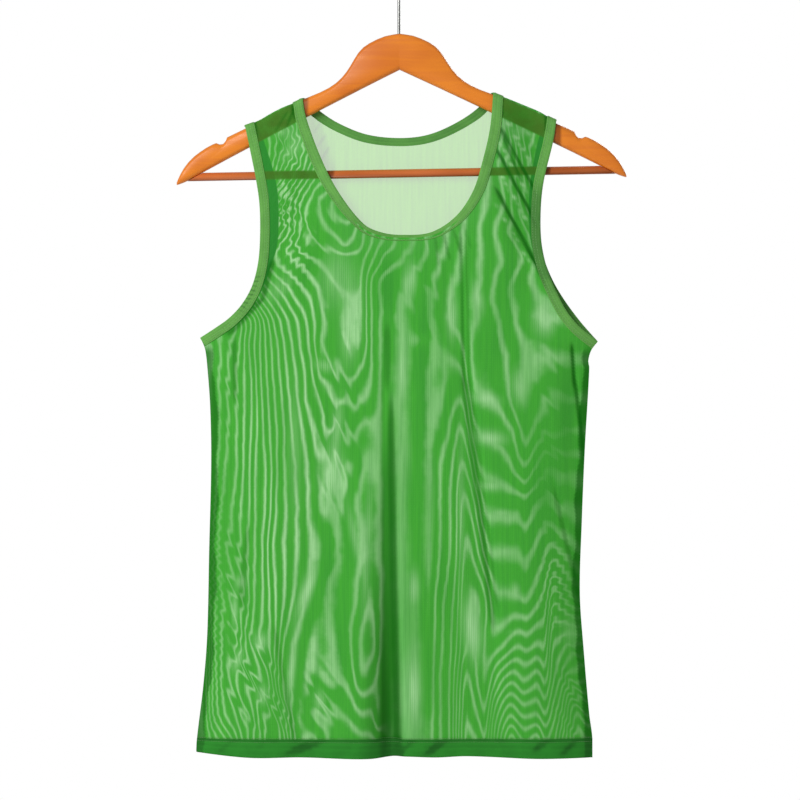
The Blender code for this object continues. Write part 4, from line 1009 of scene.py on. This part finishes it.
def add_piece(name, points, faces, material, corner_cut, attributes):
    """A smooth mesh object from points in millimetres, with its cut coordinates in metres."""
    mesh = bpy.data.meshes.new(name)
    mesh.from_pydata((np.reshape(points, (-1, 3)) * MM).tolist(), [], faces)
    corners = (np.asarray(corner_cut, float) * MM).astype(np.float32)
    mesh.uv_layers.new(name="cut").data.foreach_set("uv", corners.ravel())
    for label, values in attributes.items():
        layer = mesh.attributes.new(label, "FLOAT", "POINT")
        layer.data.foreach_set("value", values.astype(np.float32).ravel())
    mesh.shade_smooth()
    mesh.materials.append(material)
    return link_object(name, mesh)


def band_piece(name, rings, along, section, material, closed, shades):
    """A closed band through rings of points, with its distance along and section across as cut."""
    count, size = rings.shape[:2]
    ahead = np.append(along, along[-1] + np.linalg.norm(rings[0, 0] - rings[-1, 0]))
    faces, cuts = [], []
    for k in range(count if closed else count - 1):
        a, b = k * size, (k + 1) % count * size
        for j in range(size):
            n = (j + 1) % size
            faces.append((a + j, a + n, b + n, b + j))
            cuts += [(section[j], ahead[k]), (section[j] + 1, ahead[k]),
                     (section[j] + 1, ahead[k + 1]), (section[j], ahead[k + 1])]
    if not closed:
        for ring, order in ((0, range(size - 1, -1, -1)), (count - 1, range(size))):
            faces.append(tuple(ring * size + j for j in order))
            cuts += [(section[j], along[ring]) for j in order]
    piece = add_piece(name, rings, faces, material, cuts, {"shade": shades})
    shape = bmesh.new()
    shape.from_mesh(piece.data)
    bmesh.ops.recalc_face_normals(shape, faces=shape.faces)
    shape.to_mesh(piece.data)
    shape.free()
    piece.data.set_sharp_from_angle(angle=math.radians(50))
    return piece


def inside(places, outline):
    """Which flat places lie inside an outline."""
    start, end = outline, np.roll(outline, -1, axis=0)
    result = np.zeros(len(places), bool)
    for a, b in zip(start, end):
        if a[1] != b[1]:
            crosses = (a[1] > places[:, 1]) != (b[1] > places[:, 1])
            at = a[0] + (places[:, 1] - a[1]) / (b[1] - a[1]) * (b[0] - a[0])
            result ^= crosses & (places[:, 0] < at)
    return result


def line_distance(places, line, closed=False):
    """Distance of flat places from the nearest point of a line through points."""
    pairs = zip(line, np.roll(line, -1, axis=0)) if closed else zip(line[:-1], line[1:])
    nearest = np.full(len(places), np.inf)
    for a, b in pairs:
        run = b - a
        share = np.clip(((places - a) @ run) / max(run @ run, 1e-9), 0.0, 1.0)
        nearest = np.minimum(nearest, np.linalg.norm(places - a - share[:, None] * run, axis=1))
    return nearest


def band_middle(stations, share):
    """Flat line along a band at a share of its width."""
    places, across, widths, _ = stations
    return places + across * widths[:, None] * share


def held_at_seam(flat):
    """Flat places, none of them above the shoulder seam."""
    flat[:, 1] = np.minimum(flat[:, 1], shoulder_height(flat[:, 0]))
    return flat


def sheet_outline(side, step):
    """Flat outline of one sheet, reaching half way under its bands and into its hem."""
    neck = held_at_seam(band_middle(neck_stations(side, step), 0.5))
    bottom = HEM_TOP - SHEET_IN_HEM
    holes, sides = {}, {}
    for hand in (LEFT, RIGHT):
        hole = held_at_seam(band_middle(armhole_stations(hand, side, step), 0.5))
        heights = np.arange(bottom + step, hole[-1][1] - 1.0, step)
        sides[hand] = np.stack([smooth_value(SIDE_EDGE[hand], heights), heights], axis=1)
        over = (hole[:, 0] - smooth_value(SIDE_EDGE[hand], hole[:, 1])) * hand > 0
        low = hole[:, 1] < ARMPIT[hand][1] + 12
        holes[hand] = hole[~(over & low)]
    left, right = (float(smooth_value(SIDE_EDGE[hand], bottom)) for hand in (LEFT, RIGHT))
    across = np.linspace(left, right, round((right - left) / step))
    hem = np.stack([across, np.full(len(across), bottom)], axis=1)

    def seam(first_x, last_x):
        xs = np.linspace(first_x, last_x, max(3, round(abs(last_x - first_x) / step)) + 1)[1:-1]
        return np.stack([xs, shoulder_height(xs)], axis=1)

    return np.concatenate([
        hem, sides[RIGHT], holes[RIGHT][::-1], seam(holes[RIGHT][0][0], neck[-1][0]), neck[::-1],
        seam(neck[0][0], holes[LEFT][0][0]), holes[LEFT], sides[LEFT][::-1]])


def sheet_places(outline, spacing):
    """Rows of flat places inside an outline, every second row half a space along."""
    low, high = outline.min(axis=0), outline.max(axis=0)
    xs = np.arange(low[0], high[0], spacing)
    zs = np.arange(low[1], high[1], spacing * math.sqrt(3) / 2)
    grid_x, grid_z = np.meshgrid(xs, zs)
    grid_x[1::2] += spacing / 2
    places = np.stack([grid_x.ravel(), grid_z.ravel()], axis=1)
    places = places[inside(places, outline)]
    return places[line_distance(places, outline, closed=True) > 0.55 * spacing]


def behind_distance(places):
    """How far flat places lie within the shadow of the arms or the bar, negative outside it."""
    x, z = places.T
    wood = np.minimum(z - wood_height(ARM_UNDER, x), wood_height(ARM_TOP, x) + 2.0 - z)
    wood = np.where(np.abs(x) > ARM_TOP[0][0], wood, NOWHERE)
    bar_z = YOKE_TOP - BAR_DROP + x * math.tan(HANGER_ROLL)
    return np.maximum(wood, BAR_RADIUS - np.abs(z - bar_z))


def band_behind(places, side):
    """How far flat places lie within the other sheet's bands, negative outside them."""
    found = np.full(len(places), NOWHERE)
    lines = [armhole_stations(hand, -side, LINE_STEP) for hand in (LEFT, RIGHT)]
    if side == BACK:
        lines.append(neck_stations(FRONT, LINE_STEP))
    for stations in lines:
        near = line_distance(places, band_middle(stations, 0.5))
        found = np.maximum(found, np.mean(stations[2]) / 2 - near)
    return found


def lone_distance(places, side):
    """How far places of the back sheet lie within the front neck opening, negative outside it."""
    if side == FRONT:
        return np.full(len(places), NOWHERE)
    opening = band_middle(neck_stations(FRONT, LINE_STEP), 0.3)
    away = line_distance(places, opening)
    return np.where(inside(places, opening), away, -away)


def flat_area(outline):
    x, z = outline.T
    return abs(np.dot(x, np.roll(z, -1)) - np.dot(z, np.roll(x, -1))) / 2


def settings():
    return bpy.context.scene.tank_top


def colour(label, description, default):
    """A colour property, as linear values."""
    return FloatVectorProperty(
        name=label, description=description, subtype="COLOR", default=default, min=0, max=1)


def distance(label, description, default, **limits):
    """A property for a length in metres."""
    return FloatProperty(
        name=label, description=description, subtype="DISTANCE", unit="LENGTH", default=default, **limits)


class ColourSettings(bpy.types.PropertyGroup):
    """Colours of the cloth, the wood and the wire, as linear values."""

    mesh: colour("Mesh", "Two layers of mesh between the pale streaks", (0.059, 0.395, 0.037))
    # Painted light where light comes through the gaps of both layers in step
    streak: colour("Streak", "Mesh where the ribs of both layers fall in step", (0.38, 0.72, 0.33))
    # Painted backlight of one layer seen alone or from inside
    single: colour("Single layer", "Inside of one layer with light behind it", (0.19, 0.66, 0.03))
    # Painted shade where the arms or the bar behind keep light from coming through, with them seen through
    backed: colour("Backed", "Mesh with wood or a band behind it", (0.058, 0.165, 0.018))
    # Painted shade where a knit strip behind keeps light from coming through, with the strip seen through;
    # also the darker pools' painted shade and the threads' own darker marks
    strip: colour("Strip behind", "Mesh with a knit strip behind it", (0.024, 0.225, 0.030))
    # Painted shade deep in creases and where the seams inside show through
    crease: colour("Crease", "Mesh deep in a crease", (0.004, 0.115, 0.004))
    band: colour("Band", "Knit strip round the neck and armholes", (0.145, 0.405, 0.082))
    # Painted shade of the strips: their hollows, the back's side and the strap's shadow; also their own
    # darker tone
    band_dark: colour("Band shadow", "Hollows and worn edges of the knit strip", (0.064, 0.210, 0.044))
    hem: colour("Hem", "Turned-up mesh", (0.026, 0.235, 0.024))
    hem_dark: colour("Hem shadow", "Hollows of the turned-up mesh", (0.014, 0.12, 0.014))
    thread: colour("Thread", "Sewing thread", (0.20, 0.50, 0.15))
    wood: colour("Wood", "Varnished arms", (0.77, 0.225, 0.016))
    wood_dark: colour("Wood grain", "Darker grain of the arms", (0.58, 0.130, 0.010))
    bar: colour("Bar", "Varnished bar", (0.68, 0.180, 0.045))
    bar_dark: colour("Bar grain", "Darker grain of the bar", (0.42, 0.085, 0.012))
    wire: colour("Wire", "Plated hook", (0.24, 0.245, 0.235))


class ClothSettings(bpy.types.PropertyGroup):
    """How finely the cloth is made and sewn."""

    sheet_spacing: distance(
        "Sheet spacing", "Distance between the sheets' points", 0.0019, min=0.0015, max=0.01)
    band_step: distance("Band step", "Distance between rings along a band", 0.0012, min=0.0008, max=0.01)
    stitch_pitch: distance(
        "Stitch pitch", "Distance from one stitch to the next", 0.0026, min=0.0015, max=0.01)
    stitch_length: distance("Stitch length", "Length of one stitch", 0.0019, min=0.001, max=0.01)
    thread_diameter: distance("Thread diameter", "Thickness of the thread", 0.00045, min=0.0001, max=0.002)
    seam_allowance: distance(
        "Seam allowance", "Width of the cloth turned in at the side seams", 0.0085, min=0.003, max=0.02)
    stitch_seed: IntProperty(
        name="Stitch seed", description="Seed of the stitches' small differences", default=7, min=0)
    cover: FloatProperty(
        name="Front cover", description="Share of the front mesh that is yarn", subtype="FACTOR",
        default=0.97, min=0, max=1)
    back_cover: FloatProperty(
        name="Back cover", description="Share of the back mesh that is yarn, where light comes through",
        subtype="FACTOR", default=0.52, min=0, max=1)


class StageSettings(bpy.types.PropertyGroup):
    """The camera, the soft lights and the floor."""

    lens: FloatProperty(
        name="Lens", description="Focal length", subtype="DISTANCE_CAMERA", default=180.0, min=20)
    camera_distance: distance("Camera distance", "From the hanger's plane", 4.008, min=0.5)
    camera_x: distance("Camera across", "Across from the hook", 0.001)
    camera_z: distance("Camera height", "Height from the hook", -0.452)
    floor_z: distance("Floor height", "Height of the floor from the hook", -1.9)
    floor_radius: distance("Floor radius", "Half the width of the round floor", 4.5)
    surround: FloatProperty(
        name="Surround light", description="Strength of the light from all round", default=0.42, min=0)
    key_power: FloatProperty(
        name="Key power", description="Power of the large light at the upper left", subtype="POWER",
        unit="POWER", default=62.0, min=0)
    back_power: FloatProperty(
        name="Back power", description="Power of the large light behind", subtype="POWER", unit="POWER",
        default=40.0, min=0)


class TankTopSettings(bpy.types.PropertyGroup):
    """All settings of the tank top."""

    colours: PointerProperty(type=ColourSettings)
    cloth: PointerProperty(type=ClothSettings)
    stage: PointerProperty(type=StageSettings)


class TANKTOP_OT_hanger(bpy.types.Operator):
    """Give the hanger's arms, bar and hook their smooth surfaces and finishes"""

    bl_idname = "tanktop.hanger"
    bl_label = "Hanger"

    def execute(self, context):
        colours = settings().colours
        arm = wood_material("Varnished arm", colours.wood, colours.wood_dark, ARM_SHADOWS)
        bar = wood_material("Varnished bar", colours.bar, colours.bar_dark, BAR_SHADOWS, round_bar=True)
        wire = steel_material(tuple(colours.wire))
        for node, name, material, slot in (
            ("hanger_arm_left", "arm_left", arm, "wood"),
            ("hanger_arm_right", "arm_right", arm, "wood"),
            ("hanger_bar", "bar", bar, "wood"),
            ("hanger_hook", "hook", wire, "steel"),
        ):
            place_piece(self.smooth_copy(node, name, material), node)
        return {"FINISHED"}

    def smooth_copy(self, node, name, material):
        """A merged and smoothly shaded copy of one of the hanger's solids."""
        shape = bmesh.new()
        shape.from_mesh(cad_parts[node].data)
        bmesh.ops.remove_doubles(shape, verts=shape.verts, dist=0.00002)
        if node.startswith("hanger_arm"):
            self.close_joint(shape)
        bmesh.ops.dissolve_limit(shape, angle_limit=math.radians(0.5), verts=shape.verts, edges=shape.edges)
        mesh = bpy.data.meshes.new(name)
        shape.to_mesh(mesh)
        shape.free()
        mesh.shade_smooth()
        mesh.set_sharp_from_angle(angle=math.radians(42))
        mesh.materials.clear()
        mesh.materials.append(material)
        return link_object(name, mesh)

    def close_joint(self, shape):
        """Moves an arm's joint face on to the hanger's middle plane."""
        cos_roll, sin_roll = math.cos(HANGER_ROLL), math.sin(HANGER_ROLL)
        for point in shape.verts:
            apart = point.co.x * cos_roll + (point.co.z - YOKE_TOP * MM) * sin_roll
            if abs(apart) < JOINT_REACH * MM:
                point.co.x -= apart * cos_roll
                point.co.z -= apart * sin_roll


class TANKTOP_OT_sheets(bpy.types.Operator):
    """Cut and hang the front and back sheets of mesh"""

    bl_idname = "tanktop.sheets"
    bl_label = "Mesh Sheets"

    def execute(self, context):
        colours, cloth = settings().colours, settings().cloth
        front = mesh_material("Front mesh", colours, None, cloth.cover, FRONT_COVERED)
        back = mesh_material("Back mesh", colours, colours.single, cloth.back_cover, BACK_COVERED)
        for side, name, material, node in (
            (FRONT, "mesh_front", front, "front_panel"),
            (BACK, "mesh_back", back, "back_panel"),
        ):
            place_piece(self.add_sheet(side, name, material, cloth.sheet_spacing / MM), node)
        return {"FINISHED"}

    def add_sheet(self, side, name, material, spacing):
        """One sheet, with what its material reads at each point."""
        outline = sheet_outline(side, spacing)
        places = np.concatenate([outline, sheet_places(outline, spacing)])
        ring = [list(range(len(outline)))]
        flat, _, triangles, *_ = delaunay_2d_cdt([Vector(p) for p in places.tolist()], [], ring, 1, 1e-5)
        flat = np.array([tuple(p) for p in flat])
        x, z = flat.T
        triangles = np.array(triangles)
        if side == BACK:
            triangles = triangles[:, ::-1]
        streak, glow = streak_show(x, z, side)
        # What the material reads: the streaks' slip and strength, the pools' painted light and shade, masks
        # of painted shade where things lie behind, of painted backlight where the back shows alone, and of
        # creases
        attributes = {
            "slip": slip_count(x, z),
            "streak": streak,
            "glow": glow,
            "behind": behind_distance(flat),
            "strip": band_behind(flat, side),
            "lone": lone_distance(flat, side),
            "crease": fold_shade(x, z, side),
        }
        cuts = flat[triangles.ravel()]
        piece = add_piece(name, hang(x, z, side), triangles.tolist(), material, cuts, attributes)
        piece["flat_width"] = float(np.ptp(outline[:, 0])) * MM
        piece["flat_length"] = float(np.ptp(outline[:, 1])) * MM
        piece["flat_area"] = flat_area(outline) * MM * MM
        return piece


class TANKTOP_OT_side_seams(bpy.types.Operator):
    """Add the seam allowances that lie inside the side seams"""

    bl_idname = "tanktop.side_seams"
    bl_label = "Side Seams"

    def execute(self, context):
        colours = settings().colours
        material = strip_material("Seam allowance", colours.hem, colours.hem_dark, MESH_PITCH)
        width = settings().cloth.seam_allowance / MM
        shares, depths = np.array(SEAM_SECTION).T
        ends = {LEFT: HEM_EDGE[0], RIGHT: HEM_EDGE[-1]}
        for hand, label in HANDS.items():
            heights = np.linspace(ends[hand][1] + 1.0, ARMPIT[hand][1] - 2.0, SEAM_RINGS)
            edge = smooth_value(SIDE_EDGE[hand], heights)
            reach = (width + 0.5 * np.sin(heights / 9.0))[:, None] * shares
            x = edge[:, None] + hand * 0.2 - hand * reach
            rings = np.stack(np.broadcast_arrays(x, depths, heights[:, None]), axis=-1)
            shades = np.full(x.shape, 0.2)
            along = heights - heights[0]
            piece = band_piece("seam_" + label, rings, along, shares * width, material, False, shades)
            place_piece(piece)
        return {"FINISHED"}


class TANKTOP_OT_bands(bpy.types.Operator):
    """Bind the neck and the armholes with knit strips"""

    bl_idname = "tanktop.bands"
    bl_label = "Bands"

    def execute(self, context):
        colours = settings().colours
        step = settings().cloth.band_step / MM
        material = strip_material("Knit strip", colours.band, colours.band_dark, STRIP_PITCH)
        front = self.rings(neck_stations(FRONT, step), FRONT, NECK_LEAN)
        back = self.rings(neck_stations(BACK, step), BACK)
        joined = [np.concatenate([first, last[::-1][1:-1]]) for first, last in zip(front, back)]
        place_piece(self.add_band("neck_band", *joined, material, True), "neck_binding")
        for hand, label in HANDS.items():
            front = self.rings(armhole_stations(hand, FRONT, step), FRONT, hand=hand)
            back = self.rings(armhole_stations(hand, BACK, step), BACK, hand=hand)
            joined = [np.concatenate([first[::-1], last[1:]]) for first, last in zip(front, back)]
            band = self.add_band("armhole_band_" + label, *joined, material, False)
            place_piece(band, "armhole_binding_" + label)
        return {"FINISHED"}

    def rings(self, stations, side, lean=None, hand=None):
        """Sections of a band at its stations, puckered a little by its stitches, and their shades.

        Lean tips the band back along its length, and hand says which armhole it is on, if any.
        """
        places, across, widths, marks = stations
        share, height = np.array(BAND_SECTION).T
        x = places[:, :1] + across[:, :1] * widths[:, None] * share
        z = places[:, 1:] + across[:, 1:] * widths[:, None] * share
        z = np.minimum(z, shoulder_height(x))
        marks = marks[:, None]
        wave = np.sin(marks * 2 * math.pi / PUCKER_PITCH + share * 5.0 + 1.4 * np.sin(marks / 17.0))
        swell = np.sin(marks / 23.0) * 0.5 + 0.5
        outer = (height > 0.45) * np.sin(np.pi * np.clip(share, 0, 1))
        raised = height + wave * outer * (0.02 + 0.05 * swell)
        points = hang(x, z, side) + outward(x, z, side) * raised[..., None]
        if lean:
            points[..., 1] += smooth_value(lean, marks / marks[-1]) * (1 - share)
        # Painted shade, more on the back's side, in the puckers' hollows and along the stitches' groove; then
        # the strap's painted shadow on the right front and painted shade in the left front's gathers
        shades = BAND_SHADE[side] - 0.08 * wave * outer * (0.3 + 0.7 * swell)
        shades = shades + 0.35 * ((share > 0.8) & (share < 0.88))
        if side == FRONT and hand == RIGHT:
            top, bottom = STRAP_SHADOW
            shades = shades + 0.7 * ease((top - z) / 30) * ease((z - bottom) / 50)
        if side == FRONT and hand == LEFT:
            top, bottom = GATHERS
            gather = ease((np.sin(2 * math.pi * (marks / GATHER_PITCH + 0.6 * share)) - 0.1) / 0.9)
            shades = shades + 0.75 * gather * (share < 0.6) * ease((top - z) / 12) * ease((z - bottom) / 12)
        return points, np.clip(shades, 0, 1)

    def add_band(self, name, rings, shades, material, closed):
        run = np.linalg.norm(np.diff(rings[:, 0], axis=0), axis=1)
        along = np.concatenate([[0.0], np.cumsum(run)])
        section = np.array([share for share, _ in BAND_SECTION]) * BAND_CUT
        return band_piece(name, rings, along, section, material, closed, shades)


class TANKTOP_OT_hems(bpy.types.Operator):
    """Turn up the hems of the front and the back"""

    bl_idname = "tanktop.hems"
    bl_label = "Hems"

    def execute(self, context):
        colours = settings().colours
        material = strip_material("Turned hem", colours.hem, colours.hem_dark, MESH_PITCH)
        left, right = (float(smooth_value(SIDE_EDGE[hand], HEM_TOP)) for hand in (LEFT, RIGHT))
        across = np.linspace(left - 0.3, right + 0.3, HEM_RINGS)
        share, height = np.array(HEM_SECTION).T
        outer = (height > 0.4) * np.sin(np.pi * np.clip(share, 0, 1))
        bottom = smooth_value(HEM_EDGE, across)[:, None]
        x = np.broadcast_to(across[:, None], (len(across), len(share)))
        z = bottom + (HEM_TOP - bottom) * share
        rope = np.sin((x * 0.8 - z * 1.1) / 4.6 + 2.6 * np.sin(x / 31.0)) * (0.55 + 0.45 * np.sin(x / 19.0))
        rope = 0.75 * rope + 0.45 * np.sin((x - z * 0.9) / 7.3 + 1.7 * np.sin(x / 23.0))
        raised = height + rope * outer * 0.3
        # Painted shade in the rope's hollows; below, painted shade in the creases and along the hem's top
        rope_shade = ease((-rope - 0.35) / 0.6)
        for side, name, node in ((FRONT, "hem_band_front", "hem_front"), (BACK, "hem_band_back", "hem_back")):
            points = hang(x, z, side) + outward(x, z, side) * raised[..., None]
            crease = fold_shade(x, z, side)
            shades = 0.1 + (0.85 * rope_shade - 0.12 * rope) * outer + 0.9 * crease + 0.55 * (share > 0.86)
            shades = np.clip(shades, 0, 1)
            piece = band_piece(name, points, across - across[0], share * HEM_CUT, material, False, shades)
            place_piece(piece, node)
        return {"FINISHED"}


def build_stitch_tree():
    """Geometry nodes that lay small spindles of thread along a line."""
    tree = bpy.data.node_groups.new("Stitch Row", "GeometryNodeTree")
    sockets = {"Line": "Geometry", "Pitch": "Float", "Length": "Float", "Thread": "Float", "Seed": "Int",
               "Material": "Material"}
    for label, kind in sockets.items():
        tree.interface.new_socket(label, in_out="INPUT", socket_type="NodeSocket" + kind)
    tree.interface.new_socket("Stitches", in_out="OUTPUT", socket_type="NodeSocketGeometry")
    given = tree.nodes.new("NodeGroupInput").outputs

    def add(kind, inputs=None, **settings):
        return add_node(tree, kind, inputs, **settings).outputs

    curve = add("GeometryNodeMeshToCurve", {"Mesh": given["Line"]})[0]
    even = add("GeometryNodeResampleCurve", {"Curve": curve, "Length": given["Pitch"]}, mode="LENGTH")[0]
    spindle = add("GeometryNodeMeshUVSphere", {"Segments": 6, "Rings": 4, "Radius": 0.5})["Mesh"]
    size = add("ShaderNodeCombineXYZ", {"X": given["Thread"], "Y": given["Thread"], "Z": given["Length"]})[0]
    sized = add("GeometryNodeTransform", {"Geometry": spindle, "Scale": size})[0]
    tangent = add("GeometryNodeInputTangent")[0]
    turn = add("FunctionNodeAlignRotationToVector", {"Vector": tangent}, axis="Z")[0]
    vary = add("FunctionNodeRandomValue", {2: 0.82, 3: 1.12, "Seed": given["Seed"]}, data_type="FLOAT")[1]
    laid = add("GeometryNodeInstanceOnPoints",
               {"Points": even, "Instance": sized, "Rotation": turn, "Scale": vary})[0]
    real = add("GeometryNodeRealizeInstances", {"Geometry": laid})[0]
    finished = add("GeometryNodeSetMaterial", {"Geometry": real, "Material": given["Material"]})[0]
    tree.links.new(finished, tree.nodes.new("NodeGroupOutput").inputs[0])
    return tree


class TANKTOP_OT_stitches(bpy.types.Operator):
    """Sew rows of stitches along the bands and the hems"""

    bl_idname = "tanktop.stitches"
    bl_label = "Stitches"

    def execute(self, context):
        tree = build_stitch_tree()
        thread = settings().colours.thread
        material = thread_material("Thread", tuple(thread))
        hem_material = thread_material("Hem thread", tuple(0.7 * c for c in thread))
        lines = []
        for row in NECK_ROWS:
            front = self.band_line(neck_stations(FRONT, ROW_STEP), FRONT, row, NECK_LEAN)
            back = self.band_line(neck_stations(BACK, ROW_STEP), BACK, row)
            lines.append(np.concatenate([front, back[::-1][1:]]))
        self.sew("stitches_neck", lines, tree, material, "binding")
        for hand, label in HANDS.items():
            lines = []
            for row in ARMHOLE_ROWS:
                front, back = (self.band_line(armhole_stations(hand, side, ROW_STEP), side, row)
                               for side in (FRONT, BACK))
                lines.append(np.concatenate([front[::-1], back[1:]])[2:-2])
            self.sew("stitches_armhole_" + label, lines, tree, material, "binding")
        left, right = (float(smooth_value(SIDE_EDGE[hand], HEM_TOP)) for hand in (LEFT, RIGHT))
        across = np.arange(left + 1.5, right - 1.0, ROW_STEP)
        bottom = smooth_value(HEM_EDGE, across)
        for side, name in ((FRONT, "stitches_hem_front"), (BACK, "stitches_hem_back")):
            lines = []
            for share, height in HEM_ROWS:
                z = bottom + (HEM_TOP - bottom) * share
                lines.append(hang(across, z, side) + outward(across, z, side) * height)
            self.sew(name, lines, tree, hem_material, "hem")
        return {"FINISHED"}

    def band_line(self, stations, side, row, lean=None):
        """Line on a band's face at a row's share of its width and height from the cloth."""
        share, height = row
        marks = stations[3]
        flat = held_at_seam(band_middle(stations, share))
        line = hang(*flat.T, side) + outward(*flat.T, side) * height
        if lean:
            line[:, 1] += smooth_value(lean, marks / marks[-1]) * (1 - share)
        return line

    def sew(self, name, lines, tree, material, slot):
        """Stitches along some lines, made a plain mesh."""
        mesh = bpy.data.meshes.new(name + "_lines")
        points = np.concatenate(lines) * MM
        edges, start = [], 0
        for line in lines:
            edges += [(k, k + 1) for k in range(start, start + len(line) - 1)]
            start += len(line)
        mesh.from_pydata(points.tolist(), edges, [])
        guide = link_object(name + "_lines", mesh)
        modifier = guide.modifiers.new("Stitch Row", "NODES")
        modifier.node_group = tree
        cloth = settings().cloth
        values = {"Pitch": cloth.stitch_pitch, "Length": cloth.stitch_length, "Thread": cloth.thread_diameter,
                  "Seed": cloth.stitch_seed, "Material": material}
        for item in tree.interface.items_tree:
            if item.in_out == "INPUT" and item.name in values:
                modifier[item.identifier] = values[item.name]
        view = bpy.context.evaluated_depsgraph_get()
        made = bpy.data.meshes.new_from_object(guide.evaluated_get(view))
        made.name = name
        bpy.data.objects.remove(guide)
        made.shade_smooth()
        place_piece(link_object(name, made))


class TANKTOP_OT_declare(bpy.types.Operator):
    """An empty step; the sheets carry their flat sizes themselves"""

    bl_idname = "tanktop.declare"
    bl_label = "Cut Sizes"

    def execute(self, context):
        return {"FINISHED"}


class TANKTOP_OT_stage(bpy.types.Operator):
    """Set up the camera, the soft lights, the white surround and the pale floor"""

    bl_idname = "tanktop.stage"
    bl_label = "Stage"

    def execute(self, context):
        stage = settings().stage
        self.add_surround(stage.surround)
        self.add_light("Key light", (-1.5, -2.2, 0.7), 1.6, stage.key_power)
        self.add_light("Back light", (1.4, 2.4, 0.6), 1.8, stage.back_power)
        self.add_floor(stage.floor_z, stage.floor_radius)
        self.add_camera(stage)
        context.scene.view_settings.view_transform = "Standard"
        context.scene.view_settings.look = "None"
        return {"FINISHED"}

    def add_surround(self, light):
        """White to the camera, and dimmer as a light."""
        world = bpy.data.worlds.new("White surround")
        world.use_nodes = True
        tree = world.node_tree
        seen = add_node(tree, "ShaderNodeLightPath").outputs["Is Camera Ray"]
        strength = calculate(tree, "MULTIPLY_ADD", seen, 1.0 - light, light)
        set_sockets(tree, tree.nodes["Background"], {"Color": (1.0, 1.0, 1.0, 1.0), "Strength": strength})
        bpy.context.scene.world = world

    def add_light(self, name, place, size, power):
        """A round soft light that shines at the garment's middle."""
        data = bpy.data.lights.new(name, "AREA")
        data.shape = "DISK"
        data.size = size
        data.energy = power
        light = link_object(name, data)
        light.location = place
        aim = Vector(LIT_PLACE) - Vector(place)
        light.rotation_euler = aim.to_track_quat("-Z", "Y").to_euler()
        light.visible_camera = False

    def add_floor(self, height, radius):
        """A pale round floor that fades to white at its rim."""
        shape = bmesh.new()
        bmesh.ops.create_circle(shape, cap_ends=True, segments=96, radius=radius)
        mesh = bpy.data.meshes.new("floor")
        shape.to_mesh(mesh)
        shape.free()
        material, tree, shader = new_material("Pale floor", Roughness=0.8)
        place = object_places(tree)
        tint = blend_colours(tree, noise(tree, place, 1.5, 3.0), (0.86, 0.86, 0.85), (0.90, 0.90, 0.89))
        away = add_node(tree, "ShaderNodeVectorMath", {0: place}, operation="LENGTH").outputs["Value"]
        glow = read_range(tree, away, 0.3 * radius, 0.95 * radius, 0.36, 0.7)
        seen = add_node(tree, "ShaderNodeLightPath").outputs["Is Camera Ray"]
        set_sockets(tree, shader, {
            "Base Color": tint, "Emission Color": (1.0, 1.0, 1.0, 1.0),
            "Emission Strength": calculate(tree, "MULTIPLY", glow, seen)})
        mesh.materials.append(material)
        floor = link_object("floor", mesh)
        floor.location = (0.0, 0.0, height)

    def add_camera(self, stage):
        data = bpy.data.cameras.new("Camera")
        data.lens = stage.lens
        data.sensor_width = 36.0
        data.clip_end = 60.0
        camera = link_object("Camera", data)
        camera.location = (stage.camera_x, -stage.camera_distance, stage.camera_z)
        camera.rotation_euler = (math.pi / 2, 0.0, 0.0)
        bpy.context.scene.camera = camera


class TANKTOP_PT_panel(bpy.types.Panel):
    """Lists the steps and their settings in the sidebar"""

    bl_label = "Tank Top"
    bl_idname = "TANKTOP_PT_panel"
    bl_space_type = "VIEW_3D"
    bl_region_type = "UI"
    bl_category = "Tank Top"

    def draw(self, context):
        for operator in OPERATORS:
            self.layout.operator(operator.bl_idname)
        top = context.scene.tank_top
        for group in (top.colours, top.cloth, top.stage):
            box = self.layout.box()
            for name in group.bl_rna.properties.keys():
                if name not in ("rna_type", "name"):
                    box.prop(group, name)


OPERATORS = (
    TANKTOP_OT_stage, TANKTOP_OT_hanger, TANKTOP_OT_sheets, TANKTOP_OT_side_seams, TANKTOP_OT_bands,
    TANKTOP_OT_hems, TANKTOP_OT_stitches, TANKTOP_OT_declare,
)
CLASSES = (ColourSettings, ClothSettings, StageSettings, TankTopSettings, *OPERATORS, TANKTOP_PT_panel)


def register():
    for kind in CLASSES:
        bpy.utils.register_class(kind)
    bpy.types.Scene.tank_top = PointerProperty(type=TankTopSettings)


def unregister():
    del bpy.types.Scene.tank_top
    for kind in reversed(CLASSES):
        bpy.utils.unregister_class(kind)


def main():
    register()
    bpy.ops.tanktop.stage()
    bpy.ops.tanktop.hanger()
    bpy.ops.tanktop.sheets()
    bpy.ops.tanktop.side_seams()
    bpy.ops.tanktop.bands()
    bpy.ops.tanktop.hems()
    bpy.ops.tanktop.stitches()
    bpy.ops.tanktop.declare()


if __name__ == "__main__":
    main()
